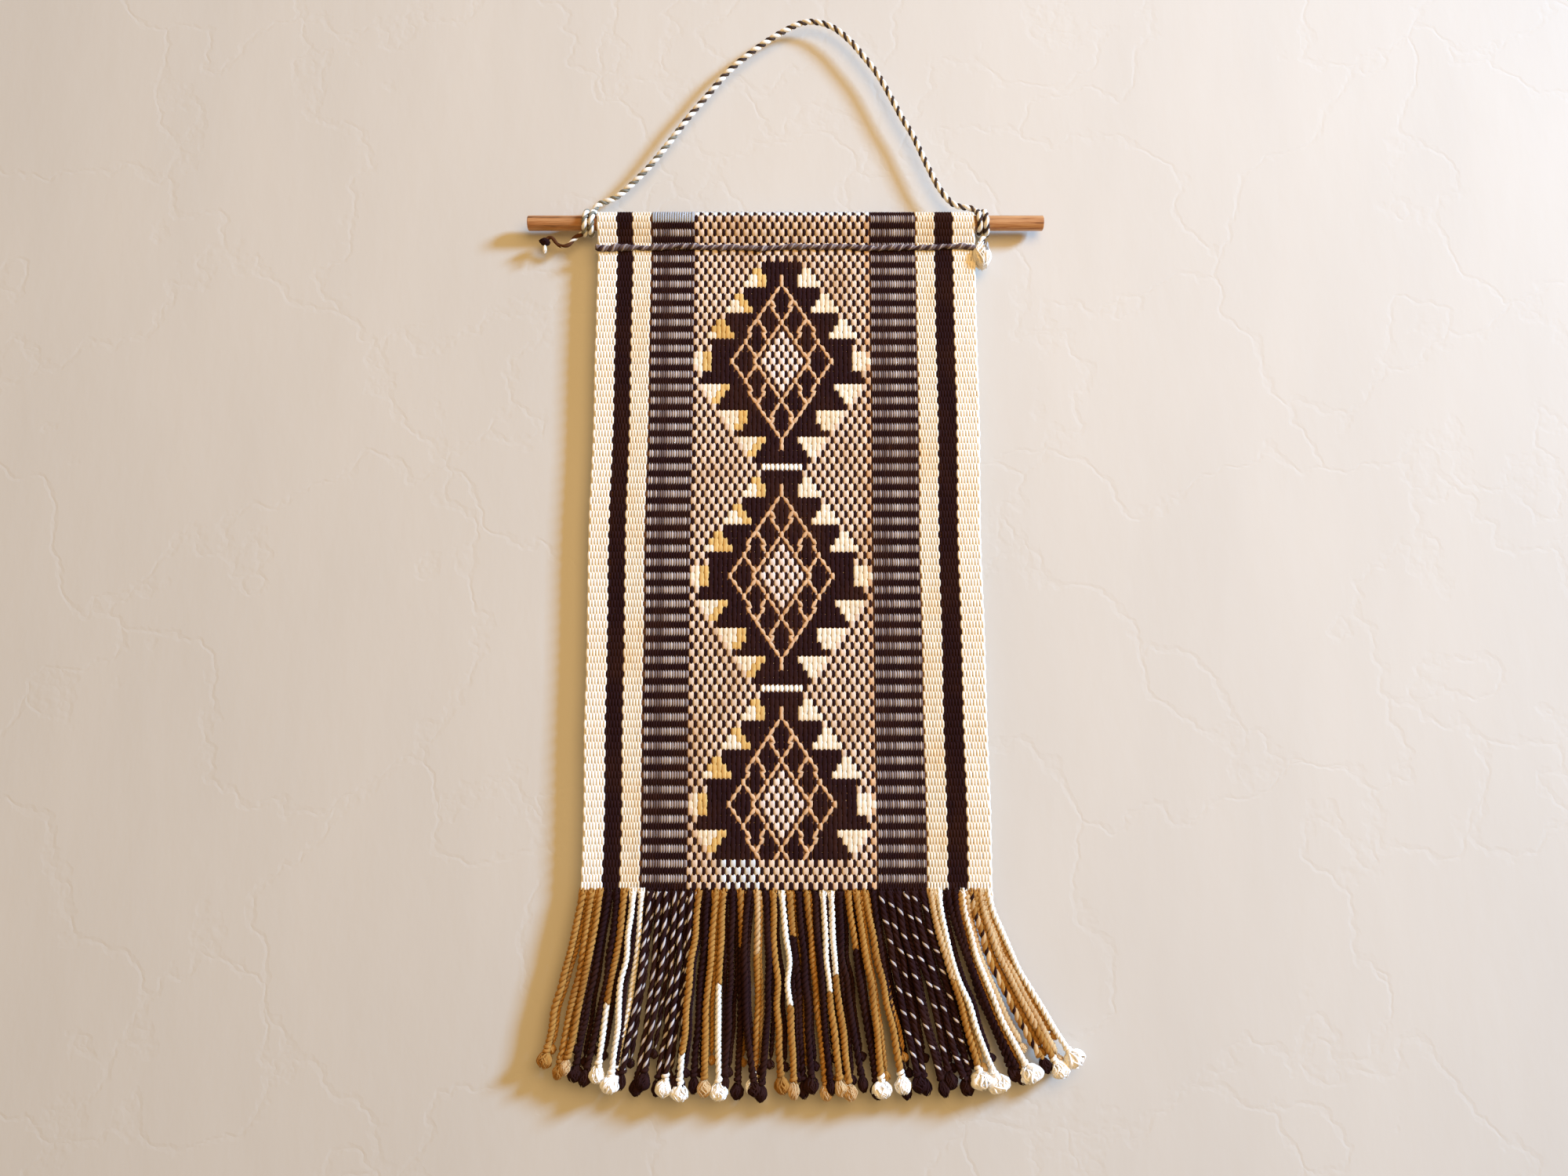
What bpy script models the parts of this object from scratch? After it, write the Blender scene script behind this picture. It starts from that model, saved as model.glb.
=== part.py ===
"""A small woven wall hanging: a striped wool band on a wooden dowel, hung from a twisted cord.

Units are metres and +Z is up. The front faces -Y and the wall is at +Y.
The origin is the nail point: the underside of the hanging cord at the top of its loop.
"""
import math

import bpy
import bmesh
from mathutils import Matrix, Vector
from mathutils.geometry import interpolate_bezier

MM = 0.001
GAP = 0.3 * MM                    # clearance between pieces that touch on the real object

# Dowel
DOWEL_DIAMETER = 6.35 * MM        # a quarter-inch dowel
DOWEL_LENGTH = 220 * MM
DOWEL_CHAMFER = 0.3 * MM

# Hanging cord, with places given from the middle of the dowel's axis
CORD_DIAMETER = 2.7 * MM
LOOP_TOP_X = 9.3 * MM             # the loop's top lies a little right of the dowel's middle
LOOP_TOP_Z = 94.6 * MM            # centreline of the cord at the loop's top
HANGER_ROUTE = [                  # x and z in millimetres, from the left knot over the loop's top
    (-80.2, 8.4), (-71.2, 13.0), (-59.6, 25.0), (-51.0, 36.3), (-42.3, 48.8), (-33.5, 60.0),
    (-24.8, 71.0), (-13.0, 81.6), (-1.2, 89.9), (9.3, 94.6), (19.4, 92.8), (27.6, 86.3),
    (34.3, 77.9), (40.3, 69.4), (45.4, 59.6), (50.4, 49.2), (55.3, 40.2), (60.2, 28.6),
    (66.1, 16.0), (72.2, 8.6), (79.6, 6.7)]
KNOT_TURNS = 2                    # turns of the cord round each end of the dowel
TAIL_DIAMETER = 2.1 * MM          # the loose tails have lost a ply of twist and are thinner
LEFT_TAIL_ROUTE = [               # x and z in millimetres
    (-87.1, -4.7), (-90.2, -6.9), (-93.2, -10.0), (-95.6, -10.4), (-97.9, -8.3), (-100.2, -6.6),
    (-102.4, -7.0), (-102.9, -9.0), (-102.6, -11.6)]
RIGHT_TAIL_ROUTE = [(83.9, -7.6), (84.2, -10.4), (84.5, -13.6), (83.9, -17.2), (83.2, -19.6)]

# Cloth
CLOTH_WIDTH = 160.4 * MM
CLOTH_THICKNESS = 1.3 * MM
CLOTH_DROP = 277.1 * MM           # from the dowel's axis to the cloth's lower edge
SLEEVE_DEPTH = 9.5 * MM           # from the dowel's axis to the point where the sleeve closes
HEM_DROP = 14.0 * MM              # from the dowel's axis to the raw edge of the turned-back hem
STITCH_DROP = 11.8 * MM           # from the dowel's axis to the line of twined stitching
STITCH_DIAMETER = 1.6 * MM

# Fringe: one cord in each place, counted from the left
FRINGE_GROUPS = {"left_border": 8, "left_ladder": 6, "centre": 22, "right_ladder": 6, "right_border": 8}
FRINGE_DIAMETER = 2.8 * MM
FRINGE_KNOT_DIAMETER = 3.4 * MM
FRINGE_LONGEST = 77 * MM
FRINGE_EDGE_SHORTER = 10 * MM     # how much shorter the cords are at the two edges
FRINGE_YARNS = (
    "tan tan tan dark dark tan white white "
    "flecked flecked flecked flecked flecked flecked "
    "tan dark tan tan dark tan dark white dark tan white tan dark tan dark white white dark tan white tan dark "
    "flecked flecked flecked flecked flecked flecked "
    "tan white dark dark white tan tan white").split()

COLOURS = {                       # base colour and roughness
    "dowel_wood": ((0.42, 0.20, 0.09), 0.55),
    "cloth_wool": ((0.55, 0.48, 0.40), 0.9),
    "stitch_wool": ((0.09, 0.06, 0.06), 0.9),
    "cord_wool": ((0.50, 0.47, 0.42), 0.85),
    "tan_wool": ((0.38, 0.20, 0.07), 0.9),
    "dark_wool": ((0.035, 0.018, 0.022), 0.9),
    "white_wool": ((0.80, 0.76, 0.68), 0.9),
    "flecked_wool": ((0.16, 0.13, 0.13), 0.9),
}

# The dowel's middle, seen from the nail point
DOWEL_X = -LOOP_TOP_X
DOWEL_Z = -(LOOP_TOP_Z - CORD_DIAMETER / 2)
DOWEL_RADIUS = DOWEL_DIAMETER / 2
SLEEVE_RADIUS = DOWEL_RADIUS + GAP
CLOTH_LEFT = DOWEL_X - CLOTH_WIDTH / 2
CLOTH_BOTTOM = DOWEL_Z - CLOTH_DROP
FRINGE_HINGE = Vector((0, -CLOTH_THICKNESS / 2, CLOTH_BOTTOM - GAP - FRINGE_DIAMETER / 2))


def clear_scene():
    """Remove whatever the scene starts with."""
    for thing in list(bpy.data.objects):
        bpy.data.objects.remove(thing)


def material(name):
    """The Principled material of one yarn or wood, made once."""
    found = bpy.data.materials.get(name)
    if found:
        return found
    colour, roughness = COLOURS[name]
    made = bpy.data.materials.new(name)
    made.use_nodes = True
    shader = made.node_tree.nodes["Principled BSDF"]
    shader.inputs["Base Color"].default_value = (*colour, 1)
    shader.inputs["Roughness"].default_value = roughness
    shader.inputs["Metallic"].default_value = 0
    return made


def empty(name, place, parent=None):
    """An empty on a joint's axis, which carries the pieces that move together."""
    made = bpy.data.objects.new(name, None)
    bpy.context.scene.collection.objects.link(made)
    made.parent = parent
    made.location = Vector(place) - (parent.matrix_world.translation if parent else Vector())
    bpy.context.view_layer.update()
    return made


def add(name, data, slot, parent, place):
    """Link one piece with its material. The data is in the piece's own space, around place."""
    data.materials.append(material(slot))
    made = bpy.data.objects.new(name, data)
    bpy.context.scene.collection.objects.link(made)
    made.parent = parent
    made.location = Vector(place) - parent.matrix_world.translation
    bpy.context.view_layer.update()
    return made


def mesh_of(shape, name, sharp_degrees=40):
    """Turn a bmesh into a mesh, with round parts shaded smooth."""
    bmesh.ops.recalc_face_normals(shape, faces=shape.faces)
    mesh = bpy.data.meshes.new(name)
    shape.to_mesh(mesh)
    shape.free()
    mesh.shade_smooth()
    mesh.set_sharp_from_angle(angle=math.radians(sharp_degrees))
    return mesh


def smooth_line(route, spacing):
    """Points about one spacing apart on a smooth curve through the route's points."""
    points = [Vector(p) for p in route]
    ahead = [points[0], *points, points[-1]]
    line = []
    for i, start in enumerate(points[:-1]):
        end = points[i + 1]
        leave = start + (end - ahead[i]) / 6
        arrive = end - (ahead[i + 3] - start) / 6
        count = max(2, round((end - start).length / spacing) + 1)
        line += interpolate_bezier(start, leave, arrive, end, count)[:-1]
    return [*line, points[-1]]


def tube(name, route, diameter, slot, parent, place, spacing=2.5):
    """A round cord along a route of x and z in millimetres, counted from place, which is on its plane."""
    line = smooth_line([(x * MM, 0, z * MM) for x, z in route], spacing * diameter)
    curve = bpy.data.curves.new(name, "CURVE")
    curve.dimensions = "3D"
    curve.bevel_depth = diameter / 2
    curve.bevel_resolution = 2
    curve.use_fill_caps = True
    curve.render_resolution_u = 0
    spline = curve.splines.new("POLY")
    spline.points.add(len(line) - 1)
    for point, where in zip(spline.points, line):
        point.co = (*where, 1)
    return add(name, curve, slot, parent, place)


def dowel(parent):
    """The round wooden rod, with its cut ends slightly eased."""
    shape = bmesh.new()
    turn = Matrix.Rotation(math.pi / 2, 4, "Y")
    bmesh.ops.create_cone(shape, cap_ends=True, segments=24, radius1=DOWEL_RADIUS, radius2=DOWEL_RADIUS,
                          depth=DOWEL_LENGTH, matrix=turn)
    rims = [e for e in shape.edges if abs(e.verts[0].co.x - e.verts[1].co.x) < GAP]
    bmesh.ops.bevel(shape, geom=rims, offset=DOWEL_CHAMFER, segments=1, affect="EDGES")
    return add("dowel", mesh_of(shape, "dowel"), "dowel_wood", parent, (DOWEL_X, 0, DOWEL_Z))


def arc(radius, start, end, steps):
    """Points (y, z) round the dowel's axis. Angles are from straight down, towards the back."""
    angles = [start + (end - start) * i / steps for i in range(steps + 1)]
    return [(radius * math.sin(a), -radius * math.cos(a)) for a in angles]


def woven_panel(parent):
    """The cloth: a sleeve turned back over the dowel, a short hem behind, and the long front panel.

    The outline is in the plane across the dowel. The sleeve's inside is a teardrop, closed where the
    back layer meets the front one, so a slit of zero width never forms: both layers become one there.
    """
    thick = CLOTH_THICKNESS
    lean = math.acos(SLEEVE_RADIUS / SLEEVE_DEPTH)
    outer = SLEEVE_RADIUS + thick
    close = -(SLEEVE_RADIUS + thick * (1 - math.sin(lean))) / math.cos(lean)
    outside = [(0, -CLOTH_DROP), (0, -HEM_DROP), (thick, -HEM_DROP), (thick, close)]
    outside += arc(outer, lean, 2 * math.pi - lean, 20)
    outside += [(-thick, close), (-thick, -CLOTH_DROP)]
    inside = [(0, -SLEEVE_DEPTH), *arc(SLEEVE_RADIUS, lean, 2 * math.pi - lean, 20)]
    shape = bmesh.new()
    edges = []
    for outline in (outside, inside):
        corners = [shape.verts.new((-CLOTH_WIDTH / 2, y, z)) for y, z in outline]
        edges += [shape.edges.new((a, b)) for a, b in zip(corners, corners[1:] + corners[:1])]
    side = bmesh.ops.triangle_fill(shape, edges=edges, use_beauty=True)
    faces = [f for f in side["geom"] if isinstance(f, bmesh.types.BMFace)]
    sweep = bmesh.ops.extrude_face_region(shape, geom=faces, use_keep_orig=True)
    moved = [v for v in sweep["geom"] if isinstance(v, bmesh.types.BMVert)]
    bmesh.ops.translate(shape, verts=moved, vec=(CLOTH_WIDTH, 0, 0))
    return add("woven_panel", mesh_of(shape, "woven_panel"), "cloth_wool", parent, (DOWEL_X, 0, DOWEL_Z))


def hem_stitch(parent):
    """The dark twined line that holds the sleeve shut, across the front of the cloth."""
    half = CLOTH_WIDTH / 2 / MM
    place = (DOWEL_X, -CLOTH_THICKNESS - GAP - STITCH_DIAMETER / 2, DOWEL_Z - STITCH_DROP)
    return tube("hem_stitch", [(-half, 0), (half, 0)], STITCH_DIAMETER, "stitch_wool", parent, place, 12)


def knot(name, side, parent):
    """Turns of cord wound side by side round the dowel, just outside the cloth's edge."""
    width = CORD_DIAMETER
    middle = side * (CLOTH_WIDTH / 2 + GAP + KNOT_TURNS * width / 2)
    section = []
    for turn in range(KNOT_TURNS):
        centre = (turn - (KNOT_TURNS - 1) / 2) * width
        for angle in (150, 110, 70, 30):
            section.append((centre + math.cos(math.radians(angle)) * width / 2, math.sin(math.radians(angle))))
    low = SLEEVE_RADIUS
    high = CORD_DIAMETER * 0.9
    profile = [(x, low + high / 2 * (1 + s)) for x, s in section]
    profile += [(KNOT_TURNS * width / 2 - GAP, low), (-KNOT_TURNS * width / 2 + GAP, low)]
    shape = bmesh.new()
    corners = [shape.verts.new((x, 0, r)) for x, r in profile]
    loop = [shape.edges.new((a, b)) for a, b in zip(corners, corners[1:] + corners[:1])]
    bmesh.ops.spin(shape, geom=loop, cent=(0, 0, 0), axis=(1, 0, 0), angle=2 * math.pi, steps=20,
                   use_merge=True)
    return add(name, mesh_of(shape, name), "cord_wool", parent, (DOWEL_X + middle, 0, DOWEL_Z))


def hanger(parent):
    """The loop that hangs on the nail, its two windings on the dowel and its two loose tails."""
    middle = (DOWEL_X, 0, DOWEL_Z)
    tube("hanger_cord", HANGER_ROUTE, CORD_DIAMETER, "cord_wool", parent, middle)
    knot("left_knot", -1, parent)
    knot("right_knot", 1, parent)
    tube("left_tail", LEFT_TAIL_ROUTE, TAIL_DIAMETER, "cord_wool", parent, middle, 1.5)
    tube("right_tail", RIGHT_TAIL_ROUTE, TAIL_DIAMETER, "cord_wool", parent, middle, 1.5)


def fringe_lean(across):
    """How far a fringe cord's tip lies right of its root. across runs from -1 to 1 over the cloth."""
    return (3.5 + 20 * across + 5.5 * across ** 2) * MM


def fringe_length(across, place):
    """How long a fringe cord is, from its hinge to its tip. Neighbours differ by a few millimetres."""
    return FRINGE_LONGEST - FRINGE_EDGE_SHORTER * across ** 4 - (1 + math.sin(2.4 * place)) * 1.5 * MM


def fringe_cord(name, lean, length, slot, parent, place):
    """One cord: round at the top, where it turns under the cloth, straight, and knotted at its tip."""
    radius = FRINGE_DIAMETER / 2
    knot_radius = FRINGE_KNOT_DIAMETER / 2
    rings = [(-0.8 * radius, 0.6 * radius), (0, radius), (length - 6 * MM, radius),
             (length - 4.6 * MM, knot_radius), (length - 2.8 * MM, knot_radius), (length, 0.5 * radius)]
    down = Vector((lean, 0, -length)).normalized()
    right = Vector((-down.z, 0, down.x))
    front = Vector((0, -1, 0))
    shape = bmesh.new()
    loops = []
    for along, r in rings:
        angles = [math.tau * k / 6 for k in range(6)]
        loops.append([shape.verts.new(down * along + right * r * math.cos(a) + front * r * math.sin(a))
                      for a in angles])
    for upper, lower in zip(loops, loops[1:]):
        for k in range(6):
            shape.faces.new((upper[k], upper[k - 1], lower[k - 1], lower[k]))
    shape.faces.new(loops[0])
    shape.faces.new(loops[-1][::-1])
    return add(name, mesh_of(shape, name, 70), slot, parent, place)


def fringe(cloth):
    """All the fringe cords, in five groups that each swing on the cloth's lower edge."""
    total = sum(FRINGE_GROUPS.values())
    pitch = CLOTH_WIDTH / total
    number = 0
    for group, count in FRINGE_GROUPS.items():
        centre = CLOTH_LEFT + (number + count / 2) * pitch
        hinge = empty("fringe_hinge_" + group, FRINGE_HINGE + Vector((centre, 0, 0)), cloth)
        for yarn in FRINGE_YARNS[number:number + count]:
            across = (2 * number + 1) / total - 1
            root = FRINGE_HINGE + Vector((CLOTH_LEFT + (number + 0.5) * pitch, 0, 0))
            number += 1
            fringe_cord(f"fringe_cord_{number:02d}", fringe_lean(across), fringe_length(across, number),
                        yarn + "_wool", hinge, root)


def main():
    """Build the whole hanging."""
    clear_scene()
    hung = empty("hanger", (0, 0, 0))
    turning = empty("dowel_axis", (DOWEL_X, 0, DOWEL_Z), hung)
    swinging = empty("cloth_axis", (DOWEL_X, 0, DOWEL_Z), hung)
    hanger(hung)
    dowel(turning)
    woven_panel(swinging)
    hem_stitch(swinging)
    fringe(swinging)


main()
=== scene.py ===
"""The looks of a small woven wall hanging: a pick-up patterned wool band on a wooden dowel.

Everything is in metres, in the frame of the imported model. The front faces -Y and the wall is at +Y.
The warp-faced cloth is built yarn by yarn, as it is on the loom, and every cord is plied from its strands.
"""

import logging
import math
from dataclasses import dataclass, field
from enum import Enum, IntEnum

import bpy
import numpy as np
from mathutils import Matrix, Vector
from mathutils.geometry import interpolate_bezier


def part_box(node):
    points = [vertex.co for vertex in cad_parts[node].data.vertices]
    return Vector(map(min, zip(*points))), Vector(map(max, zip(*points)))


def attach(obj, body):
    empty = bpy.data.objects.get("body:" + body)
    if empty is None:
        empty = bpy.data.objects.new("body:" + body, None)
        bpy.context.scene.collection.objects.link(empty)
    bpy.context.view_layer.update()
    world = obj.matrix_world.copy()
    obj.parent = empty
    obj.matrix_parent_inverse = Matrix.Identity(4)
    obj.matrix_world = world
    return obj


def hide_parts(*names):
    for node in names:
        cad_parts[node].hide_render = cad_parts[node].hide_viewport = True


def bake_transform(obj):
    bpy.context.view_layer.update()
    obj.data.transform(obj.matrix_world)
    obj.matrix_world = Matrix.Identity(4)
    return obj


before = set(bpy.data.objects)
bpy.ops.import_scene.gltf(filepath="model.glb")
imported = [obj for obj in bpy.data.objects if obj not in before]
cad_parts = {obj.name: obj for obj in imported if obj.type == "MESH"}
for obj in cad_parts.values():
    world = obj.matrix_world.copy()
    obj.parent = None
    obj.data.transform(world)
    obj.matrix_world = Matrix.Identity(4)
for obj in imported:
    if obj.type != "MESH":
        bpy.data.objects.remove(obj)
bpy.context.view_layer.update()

MM = 0.001
LOG = logging.getLogger("wall_hanging")
Colour = tuple[float, float, float]

DOWEL_LOW, DOWEL_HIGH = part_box("dowel")
DOWEL_MIDDLE = (DOWEL_LOW + DOWEL_HIGH) / 2
CLOTH_LOW, CLOTH_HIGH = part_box("woven_panel")


def paint(red: int, green: int, blue: int) -> Colour:
    """A paint-chart colour from 0 to 255 as the linear values that shaders take."""
    return tuple((v / 255 / 12.92 if v < 10.3 else ((v / 255 + 0.055) / 1.055) ** 2.4)
                 for v in (red, green, blue))


def scaled(colour: Colour, factor: float) -> Colour:
    """A colour made darker or lighter."""
    return tuple(min(1.0, c * factor) for c in colour)


# ---------------------------------------------------------------- finishes

@dataclass(frozen=True)
class Wool:
    """Spun wool: fibres that run along the yarn, patchy dye and a soft sheen.

    Attributes:
        name: the material's name.
        colour: the yarn's colour.
        tint: the colour that the dye drifts to in patches.
        drift: how far it drifts, from 0 to 1.
        contrast: how much darker the shadowed fibres are, from 0 to 1.
        sheen: how much light the loose fibres catch.
        gloss: how strongly the fibres shine.
        fibres: fibres per metre across, through and along the yarn.
        slubs: slubs per metre in the same directions.
        patches: patches of dye per metre of the cloth along X, Y and Z.
        fibre_height: how far the fibres stand out.
    """
    name: str
    colour: Colour
    tint: Colour
    drift: float = 0.5
    contrast: float = 0.3
    sheen: float = 0.25
    gloss: float = 0.1
    fibres: tuple[float, float, float] = (4200, 4200, 520)
    slubs: tuple[float, float, float] = (700, 700, 160)
    patches: tuple[float, float, float] = (55, 55, 38)
    fibre_height: float = 0.12 * MM

    def material(self) -> bpy.types.Material:
        """Make the finish, or find it if it is made already.

        Returns:
            The material.
        """
        found = bpy.data.materials.get(self.name)
        if found:
            return found
        made = bpy.data.materials.new(self.name)
        made.use_nodes = True
        nodes, links = made.node_tree.nodes, made.node_tree.links
        shader = nodes["Principled BSDF"]
        shader.inputs["Roughness"].default_value = 0.88
        shader.inputs["Specular IOR Level"].default_value = self.gloss
        shader.inputs["Sheen Weight"].default_value = self.sheen
        shader.inputs["Sheen Roughness"].default_value = 0.45
        shader.inputs["Sheen Tint"].default_value = (*scaled(self.colour, 1.6), 1)
        yarn = nodes.new("ShaderNodeAttribute")
        yarn.attribute_name = "yarn"
        fibres = self.noise(nodes, links, yarn.outputs["Vector"], self.fibres, 3)
        slubs = self.noise(nodes, links, yarn.outputs["Vector"], self.slubs, 2)
        place = nodes.new("ShaderNodeTexCoord")
        patches = self.noise(nodes, links, place.outputs["Object"], self.patches, 2)
        dye = nodes.new("ShaderNodeMapRange")
        dye.inputs["From Min"].default_value = 0.46
        dye.inputs["From Max"].default_value = 0.66
        dye.inputs["To Max"].default_value = self.drift
        links.new(patches, dye.inputs["Value"])
        dyed = self.mix(nodes, links, dye.outputs["Result"], self.colour, self.tint)
        shade = nodes.new("ShaderNodeMath")
        shade.operation = "MULTIPLY_ADD"
        shade.inputs[1].default_value = 0.55
        links.new(fibres, shade.inputs[0])
        half = nodes.new("ShaderNodeMath")
        half.operation = "MULTIPLY"
        half.inputs[1].default_value = 0.45
        links.new(slubs, half.inputs[0])
        links.new(half.outputs[0], shade.inputs[2])
        ramp = nodes.new("ShaderNodeValToRGB")
        ramp.color_ramp.elements[0].position = 0.36
        ramp.color_ramp.elements[0].color = (*[1 - self.contrast] * 3, 1)
        ramp.color_ramp.elements[1].position = 0.62
        ramp.color_ramp.elements[1].color = (1, 1, 1, 1)
        links.new(shade.outputs[0], ramp.inputs["Fac"])
        product = nodes.new("ShaderNodeMix")
        product.data_type = "RGBA"
        product.blend_type = "MULTIPLY"
        product.inputs["Factor"].default_value = 1
        links.new(dyed, product.inputs["A"])
        links.new(ramp.outputs["Color"], product.inputs["B"])
        links.new(product.outputs["Result"], shader.inputs["Base Color"])
        bump = nodes.new("ShaderNodeBump")
        bump.inputs["Strength"].default_value = 0.55
        bump.inputs["Distance"].default_value = self.fibre_height
        links.new(fibres, bump.inputs["Height"])
        links.new(bump.outputs["Normal"], shader.inputs["Normal"])
        return made

    @staticmethod
    def noise(nodes: bpy.types.Nodes, links: bpy.types.NodeLinks, source: bpy.types.NodeSocket,
              scale: tuple[float, float, float], detail: float) -> bpy.types.NodeSocket:
        """A noise whose grains are as long as the scale says.

        Args:
            nodes: the material's nodes.
            links: the material's links.
            source: the coordinates to read.
            scale: grains per metre along each axis.
            detail: how many finer octaves are added.

        Returns:
            The noise's value socket.
        """
        mapping = nodes.new("ShaderNodeMapping")
        mapping.inputs["Scale"].default_value = scale
        links.new(source, mapping.inputs["Vector"])
        noise = nodes.new("ShaderNodeTexNoise")
        noise.inputs["Scale"].default_value = 1
        noise.inputs["Detail"].default_value = detail
        noise.inputs["Roughness"].default_value = 0.6
        links.new(mapping.outputs["Vector"], noise.inputs["Vector"])
        return noise.outputs["Fac"]

    @staticmethod
    def mix(nodes: bpy.types.Nodes, links: bpy.types.NodeLinks, factor: bpy.types.NodeSocket,
            first: Colour, second: Colour) -> bpy.types.NodeSocket:
        """A blend of two colours by a factor socket.

        Args:
            nodes: the material's nodes.
            links: the material's links.
            factor: 0 gives the first colour and 1 the second.
            first: the first colour.
            second: the second colour.

        Returns:
            The blended colour's socket.
        """
        blend = nodes.new("ShaderNodeMix")
        blend.data_type = "RGBA"
        blend.inputs["A"].default_value = (*first, 1)
        blend.inputs["B"].default_value = (*second, 1)
        links.new(factor, blend.inputs["Factor"])
        return blend.outputs["Result"]


@dataclass(frozen=True)
class OiledWood:
    """A turned rod of oiled softwood, with its grain along X.

    Attributes:
        name: the material's name.
        pale: the colour of the early wood.
        warm: the colour between.
        dark: the colour of the late wood.
        growth: growth lines per metre along X, Y and Z.
        pores: pores per metre in the same directions.
        wear: worn patches per metre in the same directions.
    """
    name: str = "oiled_wood"
    pale: Colour = paint(196, 150, 104)
    warm: Colour = paint(164, 110, 66)
    dark: Colour = paint(82, 50, 30)
    growth: tuple[float, float, float] = (16, 520, 520)
    pores: tuple[float, float, float] = (110, 2600, 2600)
    wear: tuple[float, float, float] = (38, 160, 160)

    def material(self) -> bpy.types.Material:
        """Make the finish.

        Returns:
            The material.
        """
        made = bpy.data.materials.new(self.name)
        made.use_nodes = True
        nodes, links = made.node_tree.nodes, made.node_tree.links
        shader = nodes["Principled BSDF"]
        shader.inputs["Roughness"].default_value = 0.5
        shader.inputs["Specular IOR Level"].default_value = 0.35
        shader.inputs["Coat Weight"].default_value = 0.12
        shader.inputs["Coat Roughness"].default_value = 0.4
        place = nodes.new("ShaderNodeTexCoord").outputs["Object"]
        growth = Wool.noise(nodes, links, place, self.growth, 5)
        pores = Wool.noise(nodes, links, place, self.pores, 3)
        wear = Wool.noise(nodes, links, place, self.wear, 2)
        ramp = nodes.new("ShaderNodeValToRGB")
        for position, colour in ((0.38, self.dark), (0.49, self.warm), (0.62, self.pale)):
            stop = ramp.color_ramp.elements.new(position)
            stop.color = (*colour, 1)
        ramp.color_ramp.elements.remove(ramp.color_ramp.elements[0])
        ramp.color_ramp.elements.remove(ramp.color_ramp.elements[-1])
        total = nodes.new("ShaderNodeMath")
        total.operation = "MULTIPLY_ADD"
        total.inputs[1].default_value = 0.4
        links.new(pores, total.inputs[0])
        part = nodes.new("ShaderNodeMath")
        part.operation = "MULTIPLY"
        part.inputs[1].default_value = 0.62
        links.new(growth, part.inputs[0])
        links.new(part.outputs[0], total.inputs[2])
        links.new(total.outputs[0], ramp.inputs["Fac"])
        worn = nodes.new("ShaderNodeMapRange")
        worn.inputs["From Min"].default_value = 0.52
        worn.inputs["From Max"].default_value = 0.72
        worn.inputs["To Max"].default_value = 0.45
        links.new(wear, worn.inputs["Value"])
        blend = nodes.new("ShaderNodeMix")
        blend.data_type = "RGBA"
        links.new(worn.outputs["Result"], blend.inputs["Factor"])
        links.new(ramp.outputs["Color"], blend.inputs["A"])
        blend.inputs["B"].default_value = (*self.pale, 1)
        links.new(blend.outputs["Result"], shader.inputs["Base Color"])
        bump = nodes.new("ShaderNodeBump")
        bump.inputs["Strength"].default_value = 0.5
        bump.inputs["Distance"].default_value = 0.1 * MM
        links.new(total.outputs[0], bump.inputs["Height"])
        links.new(bump.outputs["Normal"], shader.inputs["Normal"])
        return made


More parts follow.
